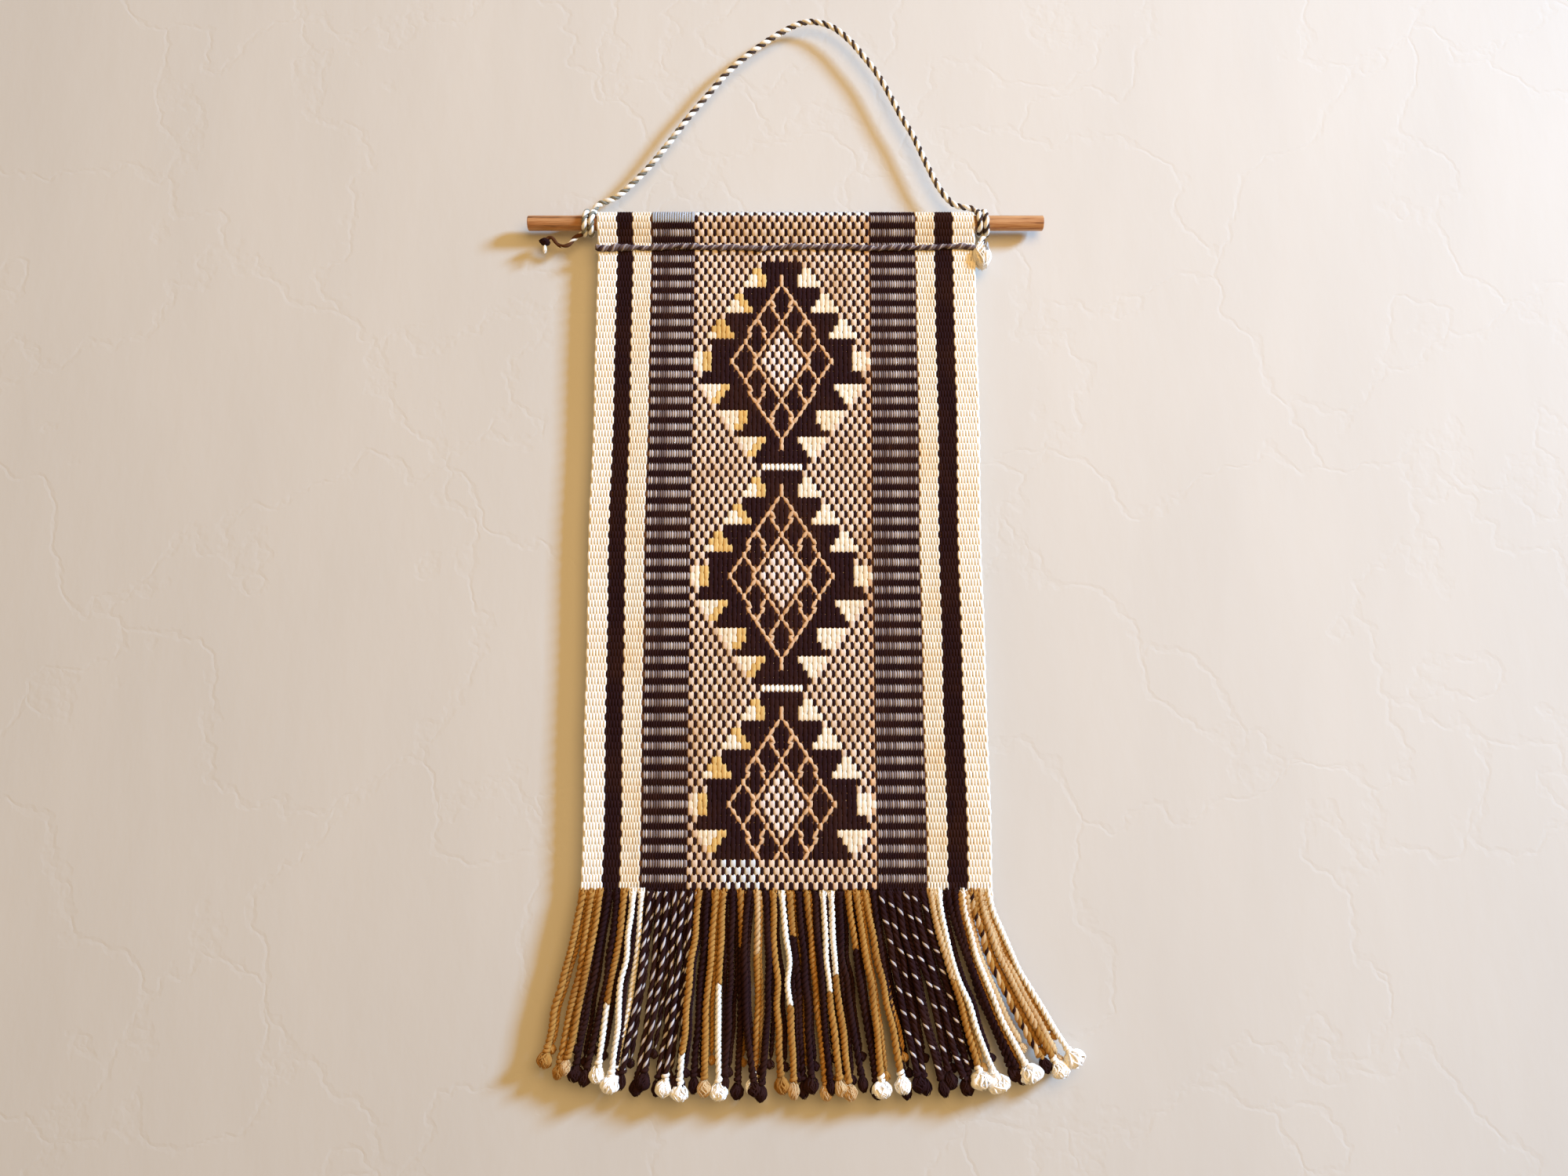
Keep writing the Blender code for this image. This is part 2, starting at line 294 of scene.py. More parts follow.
@dataclass(frozen=True)
class Plaster:
    """A pale wall with faint trowel creases, which isn't seen from behind.

    Attributes:
        name: the material's name.
        colour: the wall's colour.
        crease_scale: creases per metre, about.
        crease_half: half a crease's width, as a share of the space between two.
        relief: how deep the creases are.
    """
    name: str = "pale_plaster"
    colour: Colour = paint(203, 199, 191)
    crease_scale: float = 9
    crease_half: float = 0.03
    relief: float = 0.7 * MM

    def material(self) -> bpy.types.Material:
        """Make the finish.

        Returns:
            The material.
        """
        made = bpy.data.materials.new(self.name)
        made.use_nodes = True
        nodes, links = made.node_tree.nodes, made.node_tree.links
        shader = nodes["Principled BSDF"]
        shader.inputs["Roughness"].default_value = 0.95
        shader.inputs["Specular IOR Level"].default_value = 0.1
        place = nodes.new("ShaderNodeTexCoord").outputs["Object"]
        broad = Wool.noise(nodes, links, place, (16, 16, 5), 3)
        creases = self.creases(nodes, links, place)
        tone = nodes.new("ShaderNodeMapRange")
        tone.inputs["From Min"].default_value = 0.3
        tone.inputs["From Max"].default_value = 0.7
        links.new(broad, tone.inputs["Value"])
        links.new(Wool.mix(nodes, links, tone.outputs["Result"], scaled(self.colour, 0.95), self.colour),
                  shader.inputs["Base Color"])
        bump = nodes.new("ShaderNodeBump")
        bump.inputs["Strength"].default_value = 0.35
        bump.inputs["Distance"].default_value = self.relief
        links.new(creases, bump.inputs["Height"])
        links.new(bump.outputs["Normal"], shader.inputs["Normal"])
        side = nodes.new("ShaderNodeNewGeometry")
        clear = nodes.new("ShaderNodeBsdfTransparent")
        choice = nodes.new("ShaderNodeMixShader")
        links.new(side.outputs["Backfacing"], choice.inputs["Fac"])
        links.new(shader.outputs["BSDF"], choice.inputs[1])
        links.new(clear.outputs["BSDF"], choice.inputs[2])
        links.new(choice.outputs["Shader"], nodes["Material Output"].inputs["Surface"])
        return made

    def creases(self, nodes: bpy.types.Nodes, links: bpy.types.NodeLinks,
                place: bpy.types.NodeSocket) -> bpy.types.NodeSocket:
        """The height of a thin, wandering net of creases over gentle unevenness.

        Args:
            nodes: the material's nodes.
            links: the material's links.
            place: the coordinates to read.

        Returns:
            The height's socket.
        """
        warp = nodes.new("ShaderNodeTexNoise")
        warp.inputs["Scale"].default_value = 17
        warp.inputs["Detail"].default_value = 5
        links.new(place, warp.inputs["Vector"])
        pushed = nodes.new("ShaderNodeVectorMath")
        pushed.operation = "MULTIPLY_ADD"
        pushed.inputs[1].default_value = (0.16, 0.16, 0.16)
        links.new(warp.outputs["Color"], pushed.inputs[0])
        links.new(place, pushed.inputs[2])
        net = nodes.new("ShaderNodeTexVoronoi")
        net.feature = "DISTANCE_TO_EDGE"
        net.inputs["Scale"].default_value = self.crease_scale
        links.new(pushed.outputs["Vector"], net.inputs["Vector"])
        fold = nodes.new("ShaderNodeMapRange")
        fold.inputs["From Max"].default_value = self.crease_half
        fold.inputs["To Max"].default_value = 0.25
        links.new(net.outputs["Distance"], fold.inputs["Value"])
        uneven = Wool.noise(nodes, links, place, (48, 48, 20), 4)
        height = nodes.new("ShaderNodeMath")
        height.operation = "MULTIPLY_ADD"
        height.inputs[1].default_value = 0.8
        links.new(uneven, height.inputs[0])
        links.new(fold.outputs["Result"], height.inputs[2])
        return height.outputs[0]


CREAM = Wool("cream_yarn", paint(234, 210, 186), paint(214, 180, 146), 0.8, 0.3, 0.12)
WHITE = Wool("white_yarn", paint(252, 246, 234), paint(246, 228, 200), 0.5, 0.2, 0.15)
PEACH = Wool("peach_yarn", paint(240, 230, 210), paint(236, 210, 170), 0.7, 0.22, 0.15)
# Painted shade: the ivory halo yarn coloured ochre where it lies left of the dark steps, away from the key
# light.
PAINTED_SHADE_OCHRE = Wool("painted_shade_ochre_yarn", paint(226, 188, 118), paint(208, 160, 82), 0.6, 0.3, 0.12)
# Painted shade: the cream yarn coloured a shaded tan, for the lattice lines and for the cream of the band's
# middle column.
PAINTED_SHADE_CREAM = Wool("cream_painted_shade_yarn", paint(224, 184, 144), paint(206, 158, 114), 0.5, 0.3, 0.12)
PINK = Wool("pink_white_yarn", paint(240, 222, 208), paint(226, 200, 180), 0.5, 0.25, 0.12)
IVORY = Wool("ivory_yarn", paint(244, 232, 208), paint(234, 210, 170), 0.6, 0.3, 0.12)
# Pale cool white: painted highlight on the picks over the dowel, where the fold's top faces the cool key
# light, and the whitish bleached patch at the lower edge.
BLEACH_AND_HIGHLIGHT = Wool("bleach_and_painted_highlight_yarn", paint(226, 228, 228), paint(208, 212, 214), 0.5, 0.25, 0.12)
GREY = Wool("grey_yarn", paint(178, 164, 160), paint(148, 130, 126), 0.6, 0.45, 0.1)
PALE_GREY = Wool("pale_grey_yarn", paint(210, 200, 196), paint(184, 170, 164), 0.6, 0.4, 0.1)
SMOKE = Wool("smoke_yarn", paint(126, 110, 108), paint(98, 82, 80), 0.6, 0.45, 0.1)
# Painted light: a blue-grey cast, used as highlight of the cool key on the left ladder's top picks and as
# shade on a small lock of the right tuft.
PAINTED_BLUE_CAST = Wool("painted_blue_cast_yarn", paint(184, 188, 194), paint(160, 164, 172), 0.5, 0.4, 0.12)
DARK = Wool("dark_yarn", paint(44, 24, 25), paint(62, 36, 26), 0.5, 0.35, 0.02, 0.04)
WEFT = Wool("weft_yarn", paint(128, 92, 68), paint(100, 66, 46), 0.7, 0.4, 0.03)
# Painted highlight: the cords' white wool made brighter and cooler for their tufts, as they look strongly
# lit.
PAINTED_LIT_WHITE = Wool("painted_lit_white_yarn", paint(254, 253, 250), paint(246, 242, 234), 0.3, 0.1, 0.3)
BROWN = Wool("brown_yarn", paint(92, 56, 34), paint(134, 88, 50), 0.7, 0.4, 0.08)
TAN = Wool("tan_yarn", paint(182, 132, 66), paint(148, 98, 42), 0.7, 0.35, 0.08)
SHADE_TAN = Wool("pale_tan_yarn", paint(216, 182, 134), paint(194, 146, 92), 0.6, 0.3, 0.12)
STITCH = Wool("stitch_yarn", paint(78, 60, 66), paint(124, 106, 110), 0.9, 0.55, 0.08)
CORD_WHITE = Wool("cord_white_yarn", paint(248, 244, 234), paint(238, 222, 196), 0.4, 0.2, 0.15)
CORD_GREY = Wool("cord_grey_yarn", paint(138, 136, 124), paint(104, 96, 84), 0.6, 0.35, 0.1)
CORD_DARK = Wool("cord_dark_yarn", paint(72, 60, 56), paint(100, 76, 58), 0.6, 0.4, 0.08)


# ---------------------------------------------------------------- lines and yarn meshes

def lengths(line: np.ndarray) -> np.ndarray:
    """How far each point of a line is from its start, measured along it."""
    return np.concatenate([[0], np.cumsum(np.linalg.norm(np.diff(line, axis=0), axis=1))])


def unit(vectors: np.ndarray) -> np.ndarray:
    """Vectors of length one."""
    return vectors / np.maximum(np.linalg.norm(vectors, axis=-1, keepdims=True), 1e-12)


def smooth_line(route: list[tuple[float, float, float]], spacing: float) -> np.ndarray:
    """An evenly spaced line on a smooth curve through a route's points.

    Args:
        route: the points that the line passes through, in metres.
        spacing: about how far apart the line's points are.

    Returns:
        The line's points, one row each.
    """
    points = [Vector(p) for p in route]
    ahead = [points[0], *points, points[-1]]
    line = []
    for i, start in enumerate(points[:-1]):
        end = points[i + 1]
        leave = start + (end - ahead[i]) / 6
        arrive = end - (ahead[i + 3] - start) / 6
        line += interpolate_bezier(start, leave, arrive, end, 12)[:-1]
    fine = np.array([*line, points[-1]])
    along = lengths(fine)
    steps = np.linspace(0, along[-1], max(2, round(along[-1] / spacing) + 1))
    return np.stack([np.interp(steps, along, fine[:, axis]) for axis in range(3)], axis=1)


def steady_sides(line: np.ndarray, first: tuple[float, float, float]) -> np.ndarray:
    """Side vectors along a line that never spin about it.

    Args:
        line: the line's points.
        first: the side that the line starts with, roughly at right angles to it.

    Returns:
        One unit vector for each point.
    """
    run = unit(np.gradient(line, axis=0))
    sides = np.empty_like(line)
    side = np.array(first, float)
    for i, ahead in enumerate(run):
        side = side - ahead * np.dot(side, ahead)
        side = side / np.linalg.norm(side)
        sides[i] = side
    return sides


class YarnMesh:
    """Gathers swept yarns and makes one mesh of them.

    Every vertex keeps its place in the straightened yarn, so that the fibres of the finish run along it.
    """

    def __init__(self, name: str, finishes: list[Wool]) -> None:
        """Start an empty mesh.

        Args:
            name: the piece's name.
            finishes: the finishes that its yarns choose from by number.
        """
        self.name = name
        self.finishes = finishes
        self.points: list[np.ndarray] = []
        self.straight: list[np.ndarray] = []
        self.corners: list[np.ndarray] = []
        self.sizes: list[np.ndarray] = []
        self.tones: list[np.ndarray] = []
        self.count = 0
        self.yarns = 0

    def sweep(self, line: np.ndarray, side: np.ndarray, width: np.ndarray, depth: np.ndarray,
              corners: int = 6, tone: int | np.ndarray = 0) -> None:
        """Add one closed yarn.

        Args:
            line: the yarn's centre line, one row for each ring.
            side: the direction in which the width is measured, for each ring.
            width: half the yarn's width at each ring, or at each corner of each ring.
            depth: half its thickness, in the same way.
            corners: how many corners a ring has.
            tone: the number of its finish, or one number for each stretch between two rings.
        """
        n = len(line)
        run = unit(np.gradient(line, axis=0))
        side = unit(side - run * np.sum(side * run, axis=1, keepdims=True))
        front = np.cross(run, side)
        angles = np.arange(corners) * math.tau / corners
        width = np.broadcast_to(np.reshape(width, (n, -1)), (n, corners)) * np.cos(angles)
        depth = np.broadcast_to(np.reshape(depth, (n, -1)), (n, corners)) * np.sin(angles)
        rings = line[:, None] + side[:, None] * width[..., None] + front[:, None] * depth[..., None]
        along = np.broadcast_to(lengths(line)[:, None], (n, corners))
        self.rings(rings, np.stack([width, depth, along], -1), tone)

    def rings(self, rings: np.ndarray, straight: np.ndarray, tone: int | np.ndarray = 0) -> None:
        """Add one closed body from rings of points, with a cap at each end.

        Args:
            rings: the points, by ring and by place round it.
            straight: where each point is in the straightened yarn.
            tone: the number of its finish, or one number for each stretch between two rings.
        """
        n, corners = rings.shape[:2]
        self.yarns += 1
        shift = 0.0137 * self.yarns
        self.points.append(rings.reshape(-1, 3))
        self.straight.append((straight + np.array([shift, -shift, shift])).reshape(-1, 3))
        first = self.count + np.arange(n - 1)[:, None] * corners
        here, after = np.arange(corners), (np.arange(corners) + 1) % corners
        quads = np.stack([first + here, first + after, first + after + corners, first + here + corners], -1)
        last = self.count + (n - 1) * corners
        self.corners += [quads.ravel(), self.count + here[::-1], last + here]
        self.sizes += [np.full((n - 1) * corners, 4), np.full(2, corners)]
        tones = np.broadcast_to(tone, n - 1)
        self.tones += [np.repeat(tones, corners), tones[[0, -1]]]
        self.count += n * corners

    def build(self) -> bpy.types.Object:
        """The finished piece.

        Returns:
            An object with one smooth mesh of closed yarns.
        """
        mesh = bpy.data.meshes.new(self.name)
        points, corners = np.concatenate(self.points), np.concatenate(self.corners)
        sizes = np.concatenate(self.sizes)
        mesh.vertices.add(len(points))
        mesh.vertices.foreach_set("co", points.astype(np.float32).ravel())
        mesh.loops.add(len(corners))
        mesh.loops.foreach_set("vertex_index", corners.astype(np.int32))
        mesh.polygons.add(len(sizes))
        starts = np.concatenate([[0], np.cumsum(sizes)[:-1]])
        mesh.polygons.foreach_set("loop_start", starts.astype(np.int32))
        mesh.polygons.foreach_set("material_index", np.concatenate(self.tones).astype(np.int32))
        yarn = mesh.attributes.new("yarn", "FLOAT_VECTOR", "POINT")
        yarn.data.foreach_set("vector", np.concatenate(self.straight).astype(np.float32).ravel())
        mesh.update(calc_edges=True)
        mesh.shade_smooth()
        for finish in self.finishes:
            mesh.materials.append(finish.material())
        made = bpy.data.objects.new(self.name, mesh)
        bpy.context.scene.collection.objects.link(made)
        LOG.info("%s: %d yarns, %d vertices", self.name, self.yarns, len(points))
        return made


@dataclass(frozen=True)
class Ply:
    """One strand of a twisted cord.

    Attributes:
        tone: the number of its finish in the mesh, or one number for each stretch of the line.
        radius: half its thickness.
        offset: how far its middle is from the cord's middle.
        turn: where round the cord it starts, in radians.
        sink: how much of it the other strands hide where it isn't in front, from 0 to 1.
    """
    tone: int | np.ndarray
    radius: float
    offset: float
    turn: float
    sink: float = 0.0


class Hand(IntEnum):
    """Which way a cord is twisted."""
    S = -1
    Z = 1


def twist(mesh: YarnMesh, line: np.ndarray, sides: np.ndarray, along: np.ndarray, plies: list[Ply],
          pitch: float, hand: Hand = Hand.Z, taper: np.ndarray | float = 1.0, corners: int = 8) -> None:
    """Lay plies round a line as a rope maker would.

    Args:
        mesh: the mesh that takes the plies.
        line: the cord's centre line.
        sides: its side vectors, which don't spin.
        along: how far along the whole cord each point is, which sets the twist there.
        plies: the strands.
        pitch: the length of one whole turn.
        hand: the direction of the twist.
        taper: a factor on every thickness, for each point.
        corners: how many sides each strand has.
    """
    front = np.cross(unit(np.gradient(line, axis=0)), sides)
    taper = np.broadcast_to(taper, len(line))
    for ply in plies:
        angle = ply.turn + hand * math.tau * along / pitch
        out = sides * np.cos(angle)[:, None] + front * np.sin(angle)[:, None]
        across = front * np.cos(angle)[:, None] - sides * np.sin(angle)[:, None]
        shown = taper * (1 - ply.sink * (1 - np.clip(-out[:, 1], 0, 1) ** 1.5))
        centre = line + out * (ply.offset * (taper + shown) / 2)[:, None]
        mesh.sweep(centre, across, ply.radius * 1.08 * shown, ply.radius * 0.94 * shown, corners, ply.tone)


# ---------------------------------------------------------------- studio

@dataclass(frozen=True)
class SoftLight:
    """One square soft light, pointed at the hanging's middle.

    Attributes:
        name: the light's name.
        place: where it stands, seen from the hanging's middle.
        size: its side.
        watts: its power.
        colour: its colour.
    """
    name: str
    place: tuple[float, float, float]
    size: float
    watts: float
    colour: Colour


@dataclass
class Studio:
    """The wall, the lights and the camera.

    Attributes:
        target: the point that the camera looks at.
        distance: from the target to the camera.
        elevation: how far above the target's level the camera stands, in degrees.
        lens: its focal length, in millimetres.
        sensor: its sensor's width, in millimetres.
        wall_depth: from the dowel's axis back to the wall.
        wall_size: the wall's side.
        lights: the soft lights.
        glow: the colour of the light from all round.
        glow_strength: how strong it is.
    """
    target: Vector = field(default_factory=lambda: DOWEL_MIDDLE + Vector((-0.67, -1.3, -158.25)) * MM)
    distance: float = 0.476
    elevation: float = -9.3
    lens: float = 27.0
    sensor: float = 36.0
    wall_depth: float = 6.4 * MM
    wall_size: float = 3.0
    lights: tuple[SoftLight, ...] = (
        SoftLight("key", (1.84, -0.94, 0.90), 0.40, 104.0, (0.35, 0.62, 1.0)),
        SoftLight("warm_fill", (0.3, -0.85, 0.3), 0.7, 6.0, (1.0, 0.65, 0.28)),
        SoftLight("rear_fill", (0.3, 1.4, 0.4), 1.2, 9.0, (1.0, 0.95, 0.88)))
    glow: Colour = (1.0, 0.66, 0.29)
    glow_strength: float = 0.5

    def camera(self) -> None:
        """Stand the camera a little below the middle of the hanging, looking up at it."""
        tilt = math.radians(self.elevation)
        data = bpy.data.cameras.new("camera")
        data.lens = self.lens
        data.sensor_width = self.sensor
        data.clip_start = 0.01
        made = bpy.data.objects.new("camera", data)
        bpy.context.scene.collection.objects.link(made)
        away = Vector((0, -math.cos(tilt), math.sin(tilt)))
        made.location = self.target + away * self.distance
        made.rotation_euler = (-away).to_track_quat("-Z", "Y").to_euler()
        bpy.context.scene.camera = made

    def wall(self) -> None:
        """A flat pale wall just behind the hanging."""
        half = self.wall_size / 2
        corners = [(-half, self.wall_depth, -half), (half, self.wall_depth, -half),
                   (half, self.wall_depth, half), (-half, self.wall_depth, half)]
        mesh = bpy.data.meshes.new("wall")
        mesh.from_pydata(corners, [], [(0, 1, 2, 3)])
        mesh.materials.append(Plaster().material())
        made = bpy.data.objects.new("wall", mesh)
        bpy.context.scene.collection.objects.link(made)
        made.visible_shadow = False

    def light(self, light: SoftLight) -> None:
        """Set up one light.

        Args:
            light: what it is and where it stands.
        """
        data = bpy.data.lights.new(light.name, "AREA")
        data.size = light.size
        data.energy = light.watts
        data.color = light.colour
        made = bpy.data.objects.new(light.name, data)
        bpy.context.scene.collection.objects.link(made)
        made.location = self.target + Vector(light.place)
        made.rotation_euler = (-Vector(light.place)).to_track_quat("-Z", "Y").to_euler()
        made.visible_camera = False

    def world(self) -> bpy.types.World:
        """A warm glow from all round that is seen as a plain pale backdrop.

        Returns:
            The world.
        """
        made = bpy.data.worlds.new("studio")
        made.use_nodes = True
        nodes, links = made.node_tree.nodes, made.node_tree.links
        glow = nodes["Background"]
        glow.inputs["Color"].default_value = (*self.glow, 1)
        glow.inputs["Strength"].default_value = self.glow_strength
        backdrop = nodes.new("ShaderNodeBackground")
        backdrop.inputs["Color"].default_value = (*Plaster().colour, 1)
        choice = nodes.new("ShaderNodeMixShader")
        links.new(nodes.new("ShaderNodeLightPath").outputs["Is Camera Ray"], choice.inputs["Fac"])
        links.new(glow.outputs["Background"], choice.inputs[1])
        links.new(backdrop.outputs["Background"], choice.inputs[2])
        links.new(choice.outputs["Shader"], nodes["World Output"].inputs["Surface"])
        return made

    def build(self) -> None:
        """Set up the whole studio."""
        self.camera()
        self.wall()
        for light in self.lights:
            self.light(light)
        bpy.context.scene.world = self.world()
        bpy.context.scene.view_settings.view_transform = "Standard"


# ---------------------------------------------------------------- hanging cord

class CordYarn(IntEnum):
    """The finishes of the hanging cord, by their numbers in its meshes."""
    WHITE = 0
    DARK = 1
    BROWN = 2
    PAINTED_BLUE_CAST = 3
    BLACK = 4
    GREY_STRETCH = 5


@dataclass
class HangingCord:
    """One two-ply cord: the loop on the nail, its windings round the dowel and its two loose ends.

    Attributes:
        diameter: the cord's thickness.
        pitch: the length of one turn of its twist.
        loose_pitch: the same in its loose ends.
        spacing: how far apart the points of its line are.
        winding_radius: from the dowel's axis to the middle of the cord.
        sleeve_half: half the width of the cloth's sleeve.
        winding_step: how far a winding moves outwards in one turn.
        steps_per_turn: how many points a turn of a winding has.
        left_turns: how many times the left winding goes round.
        right_turns: how many times the right one does.
        route: the loop in millimetres right of and above the dowel's middle.
        left_tail: the left loose end, in the same way.
        right_tail: the right loose end, in the same way.
        finishes: its finishes, in the order of their numbers.
        grey_stretch_length: how far from the left end its dark ply is grey instead of dark.
    """
    diameter: float = 2.7 * MM
    pitch: float = 5.3 * MM
    loose_pitch: float = 6.5 * MM
    spacing: float = 0.35 * MM
    winding_radius: float = 4.6 * MM
    sleeve_half: float = 80.2 * MM
    winding_step: float = 2.75 * MM
    steps_per_turn: int = 12
    left_turns: float = 1.62
    right_turns: float = 1.78
    route: tuple[tuple[float, float], ...] = (
        (-80.2, 8.4), (-71.2, 13.0), (-59.6, 25.0), (-51.0, 36.3), (-42.3, 48.8), (-33.5, 60.0),
        (-24.8, 71.0), (-13.0, 81.6), (-1.2, 89.9), (9.3, 94.6), (19.4, 92.8), (27.6, 86.3),
        (34.3, 77.9), (40.3, 69.4), (45.4, 59.6), (50.4, 49.2), (55.3, 40.2), (60.2, 28.6),
        (66.1, 16.0), (72.2, 8.6), (79.6, 6.7))
    left_tail: tuple[tuple[float, float], ...] = (
        (-87.1, -4.7), (-90.2, -6.9), (-93.2, -10.0), (-95.6, -10.4), (-97.9, -8.3), (-100.2, -6.6),
        (-102.4, -7.0), (-102.9, -9.0))
    right_tail: tuple[tuple[float, float], ...] = ((83.9, -7.6), (84.2, -10.4), (84.5, -13.6))
    finishes: tuple[Wool, ...] = (CORD_WHITE, CORD_DARK, BROWN, PAINTED_BLUE_CAST, DARK, CORD_GREY)
    grey_stretch_length: float = 100 * MM

    def place(self, x: float, y: float, z: float) -> tuple[float, float, float]:
        """A point given in millimetres from the dowel's middle, in the frame's metres."""
        return tuple(DOWEL_MIDDLE + Vector((x, y, z)) * MM)

    def winding(self, side: int, turns: float) -> list[tuple[float, float, float]]:
        """Points of a winding round the dowel's end, from over the top at the cloth's edge outwards.

        Args:
            side: -1 for the left end and 1 for the right one.
            turns: how many times it goes round.

        Returns:
            The points, in the frame's metres.
        """
        radius = self.winding_radius / MM
        first = side * (self.sleeve_half + self.diameter * 0.55) / MM
        points = []
        for i in range(round(turns * self.steps_per_turn) + 1):
            angle = math.tau * (i / self.steps_per_turn + 0.03)
            x = first + side * self.winding_step / MM * i / self.steps_per_turn
            points.append(self.place(x, -radius * math.sin(angle), radius * math.cos(angle)))
        return points

    def piece(self, name: str, line: np.ndarray, sides: np.ndarray, along: np.ndarray,
              plies: list[Ply]) -> bpy.types.Object:
        """One stretch of the cord as a piece of its own.

        Args:
            name: the piece's name.
            line: its centre line.
            sides: its side vectors.
            along: how far along the whole cord it is.
            plies: its strands.

        Returns:
            The piece.
        """
        mesh = YarnMesh(name, list(self.finishes))
        twist(mesh, line, sides, along, plies, self.pitch)
        made = mesh.build()
        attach(made, "hanger")
        return made

    def build(self) -> None:
        """Make the loop, the windings and the loose ends as one run of cord."""
        loop = [self.place(x, 0, z) for x, z in self.route]
        left, right = self.winding(-1, self.left_turns), self.winding(1, self.right_turns)
        whole = smooth_line([*left[::-1], *loop, *right], self.spacing)
        sides = steady_sides(whole, (0, 0, 1))
        along = lengths(whole)
        start = int(np.argmin(np.linalg.norm(whole - np.array(loop[0]), axis=1)))
        end = int(np.argmin(np.linalg.norm(whole - np.array(loop[-1]), axis=1)))
        cuts = {"loop": slice(start, end + 1), "left": slice(0, start + 1), "right": slice(end, len(whole))}
        for name, cut in cuts.items():
            # The dark ply is grey for its first stretch from the left end.
            dark = np.where(along[cut][:-1] < self.grey_stretch_length, CordYarn.GREY_STRETCH, CordYarn.DARK)
            plies = [Ply(CordYarn.WHITE, 0.88 * MM, 0.50 * MM, 0.0), Ply(dark, 0.52 * MM, 0.84 * MM, math.pi)]
            self.piece(f"twisted_{name}", whole[cut], sides[cut], along[cut], plies)
        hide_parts("hanger_cord")
        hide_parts("left_knot")
        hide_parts("right_knot")
        self.loose_ends(left[-1], right[-1])

    def loose_ends(self, left_start: tuple[float, float, float],
                   right_start: tuple[float, float, float]) -> None:
        """The thin frayed end at the left and the woolly one at the right.

        Args:
            left_start: where the left winding ends.
            right_start: where the right winding ends.
        """
        line = smooth_line([left_start, *[self.place(x, 0.4, z) for x, z in self.left_tail]], self.spacing)
        along = lengths(line)
        share = along / along[-1]
        mesh = YarnMesh("left_loose_end", list(self.finishes))
        sides = steady_sides(line, (0, 0, 1))
        twist(mesh, line, sides, along, [Ply(CordYarn.BROWN, 0.84 * MM, 0.35 * MM, 0.4)], self.loose_pitch,
              Hand.Z, 1.0 - 0.12 * share)
        pale_share = 0.62
        pale = slice(0, int(len(line) * pale_share))
        twist(mesh, line[pale], sides[pale], along[pale], [Ply(CordYarn.WHITE, 0.55 * MM, 0.62 * MM, 3.5)],
              self.loose_pitch, Hand.Z, np.interp(share[pale], [0, 0.3, pale_share], [1.1, 0.9, 0.25]))
        tuft = Tuft(2.2 * MM, 4.0 * MM, 14)
        tuft.add(mesh, self.place(-102.5, 0.4, -6.4), (-0.15, 0, -1), CordYarn.BLACK, 21)
        tuft = Tuft(0.75 * MM, 5.0 * MM, 7)
        tuft.add(mesh, self.place(-102.7, 0.2, -9.2), (0.05, 0, -1), CordYarn.WHITE, 22)
        made = mesh.build()
        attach(made, "hanger")
        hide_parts("left_tail")
        line = smooth_line([right_start, *[self.place(x, 0.2, z) for x, z in self.right_tail]], self.spacing)
        along = lengths(line)
        mesh = YarnMesh("right_loose_end", list(self.finishes))
        sides = steady_sides(line, (1, 0, 0))
        plies = [Ply(CordYarn.WHITE, 0.95 * MM, 0.5 * MM, 0.0),
                 Ply(CordYarn.DARK, 0.55 * MM, 0.9 * MM, math.pi)]
        twist(mesh, line, sides, along, plies, 7 * MM)
        tuft = Tuft(3.7 * MM, 14.0 * MM, 48)
        tuft.add(mesh, self.place(83.8, -0.6, -8.6), (-0.06, 0, -1), CordYarn.WHITE, 23)
        # A small blue-grey lock on the white tuft: its colour is painted shade.
        tuft = Tuft(1.0 * MM, 6.5 * MM, 10)
        tuft.add(mesh, self.place(85.4, -2.8, -9.6), (-0.12, -0.04, -1), CordYarn.PAINTED_BLUE_CAST, 24)
        made = mesh.build()
        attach(made, "hanger")
        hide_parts("right_tail")


GOLDEN_SHARE = 0.381966
LOCK_PROFILE = np.array([0.3, 0.8, 1, 1.1, 1.1, 1, 0.9, 0.6, 0.2])


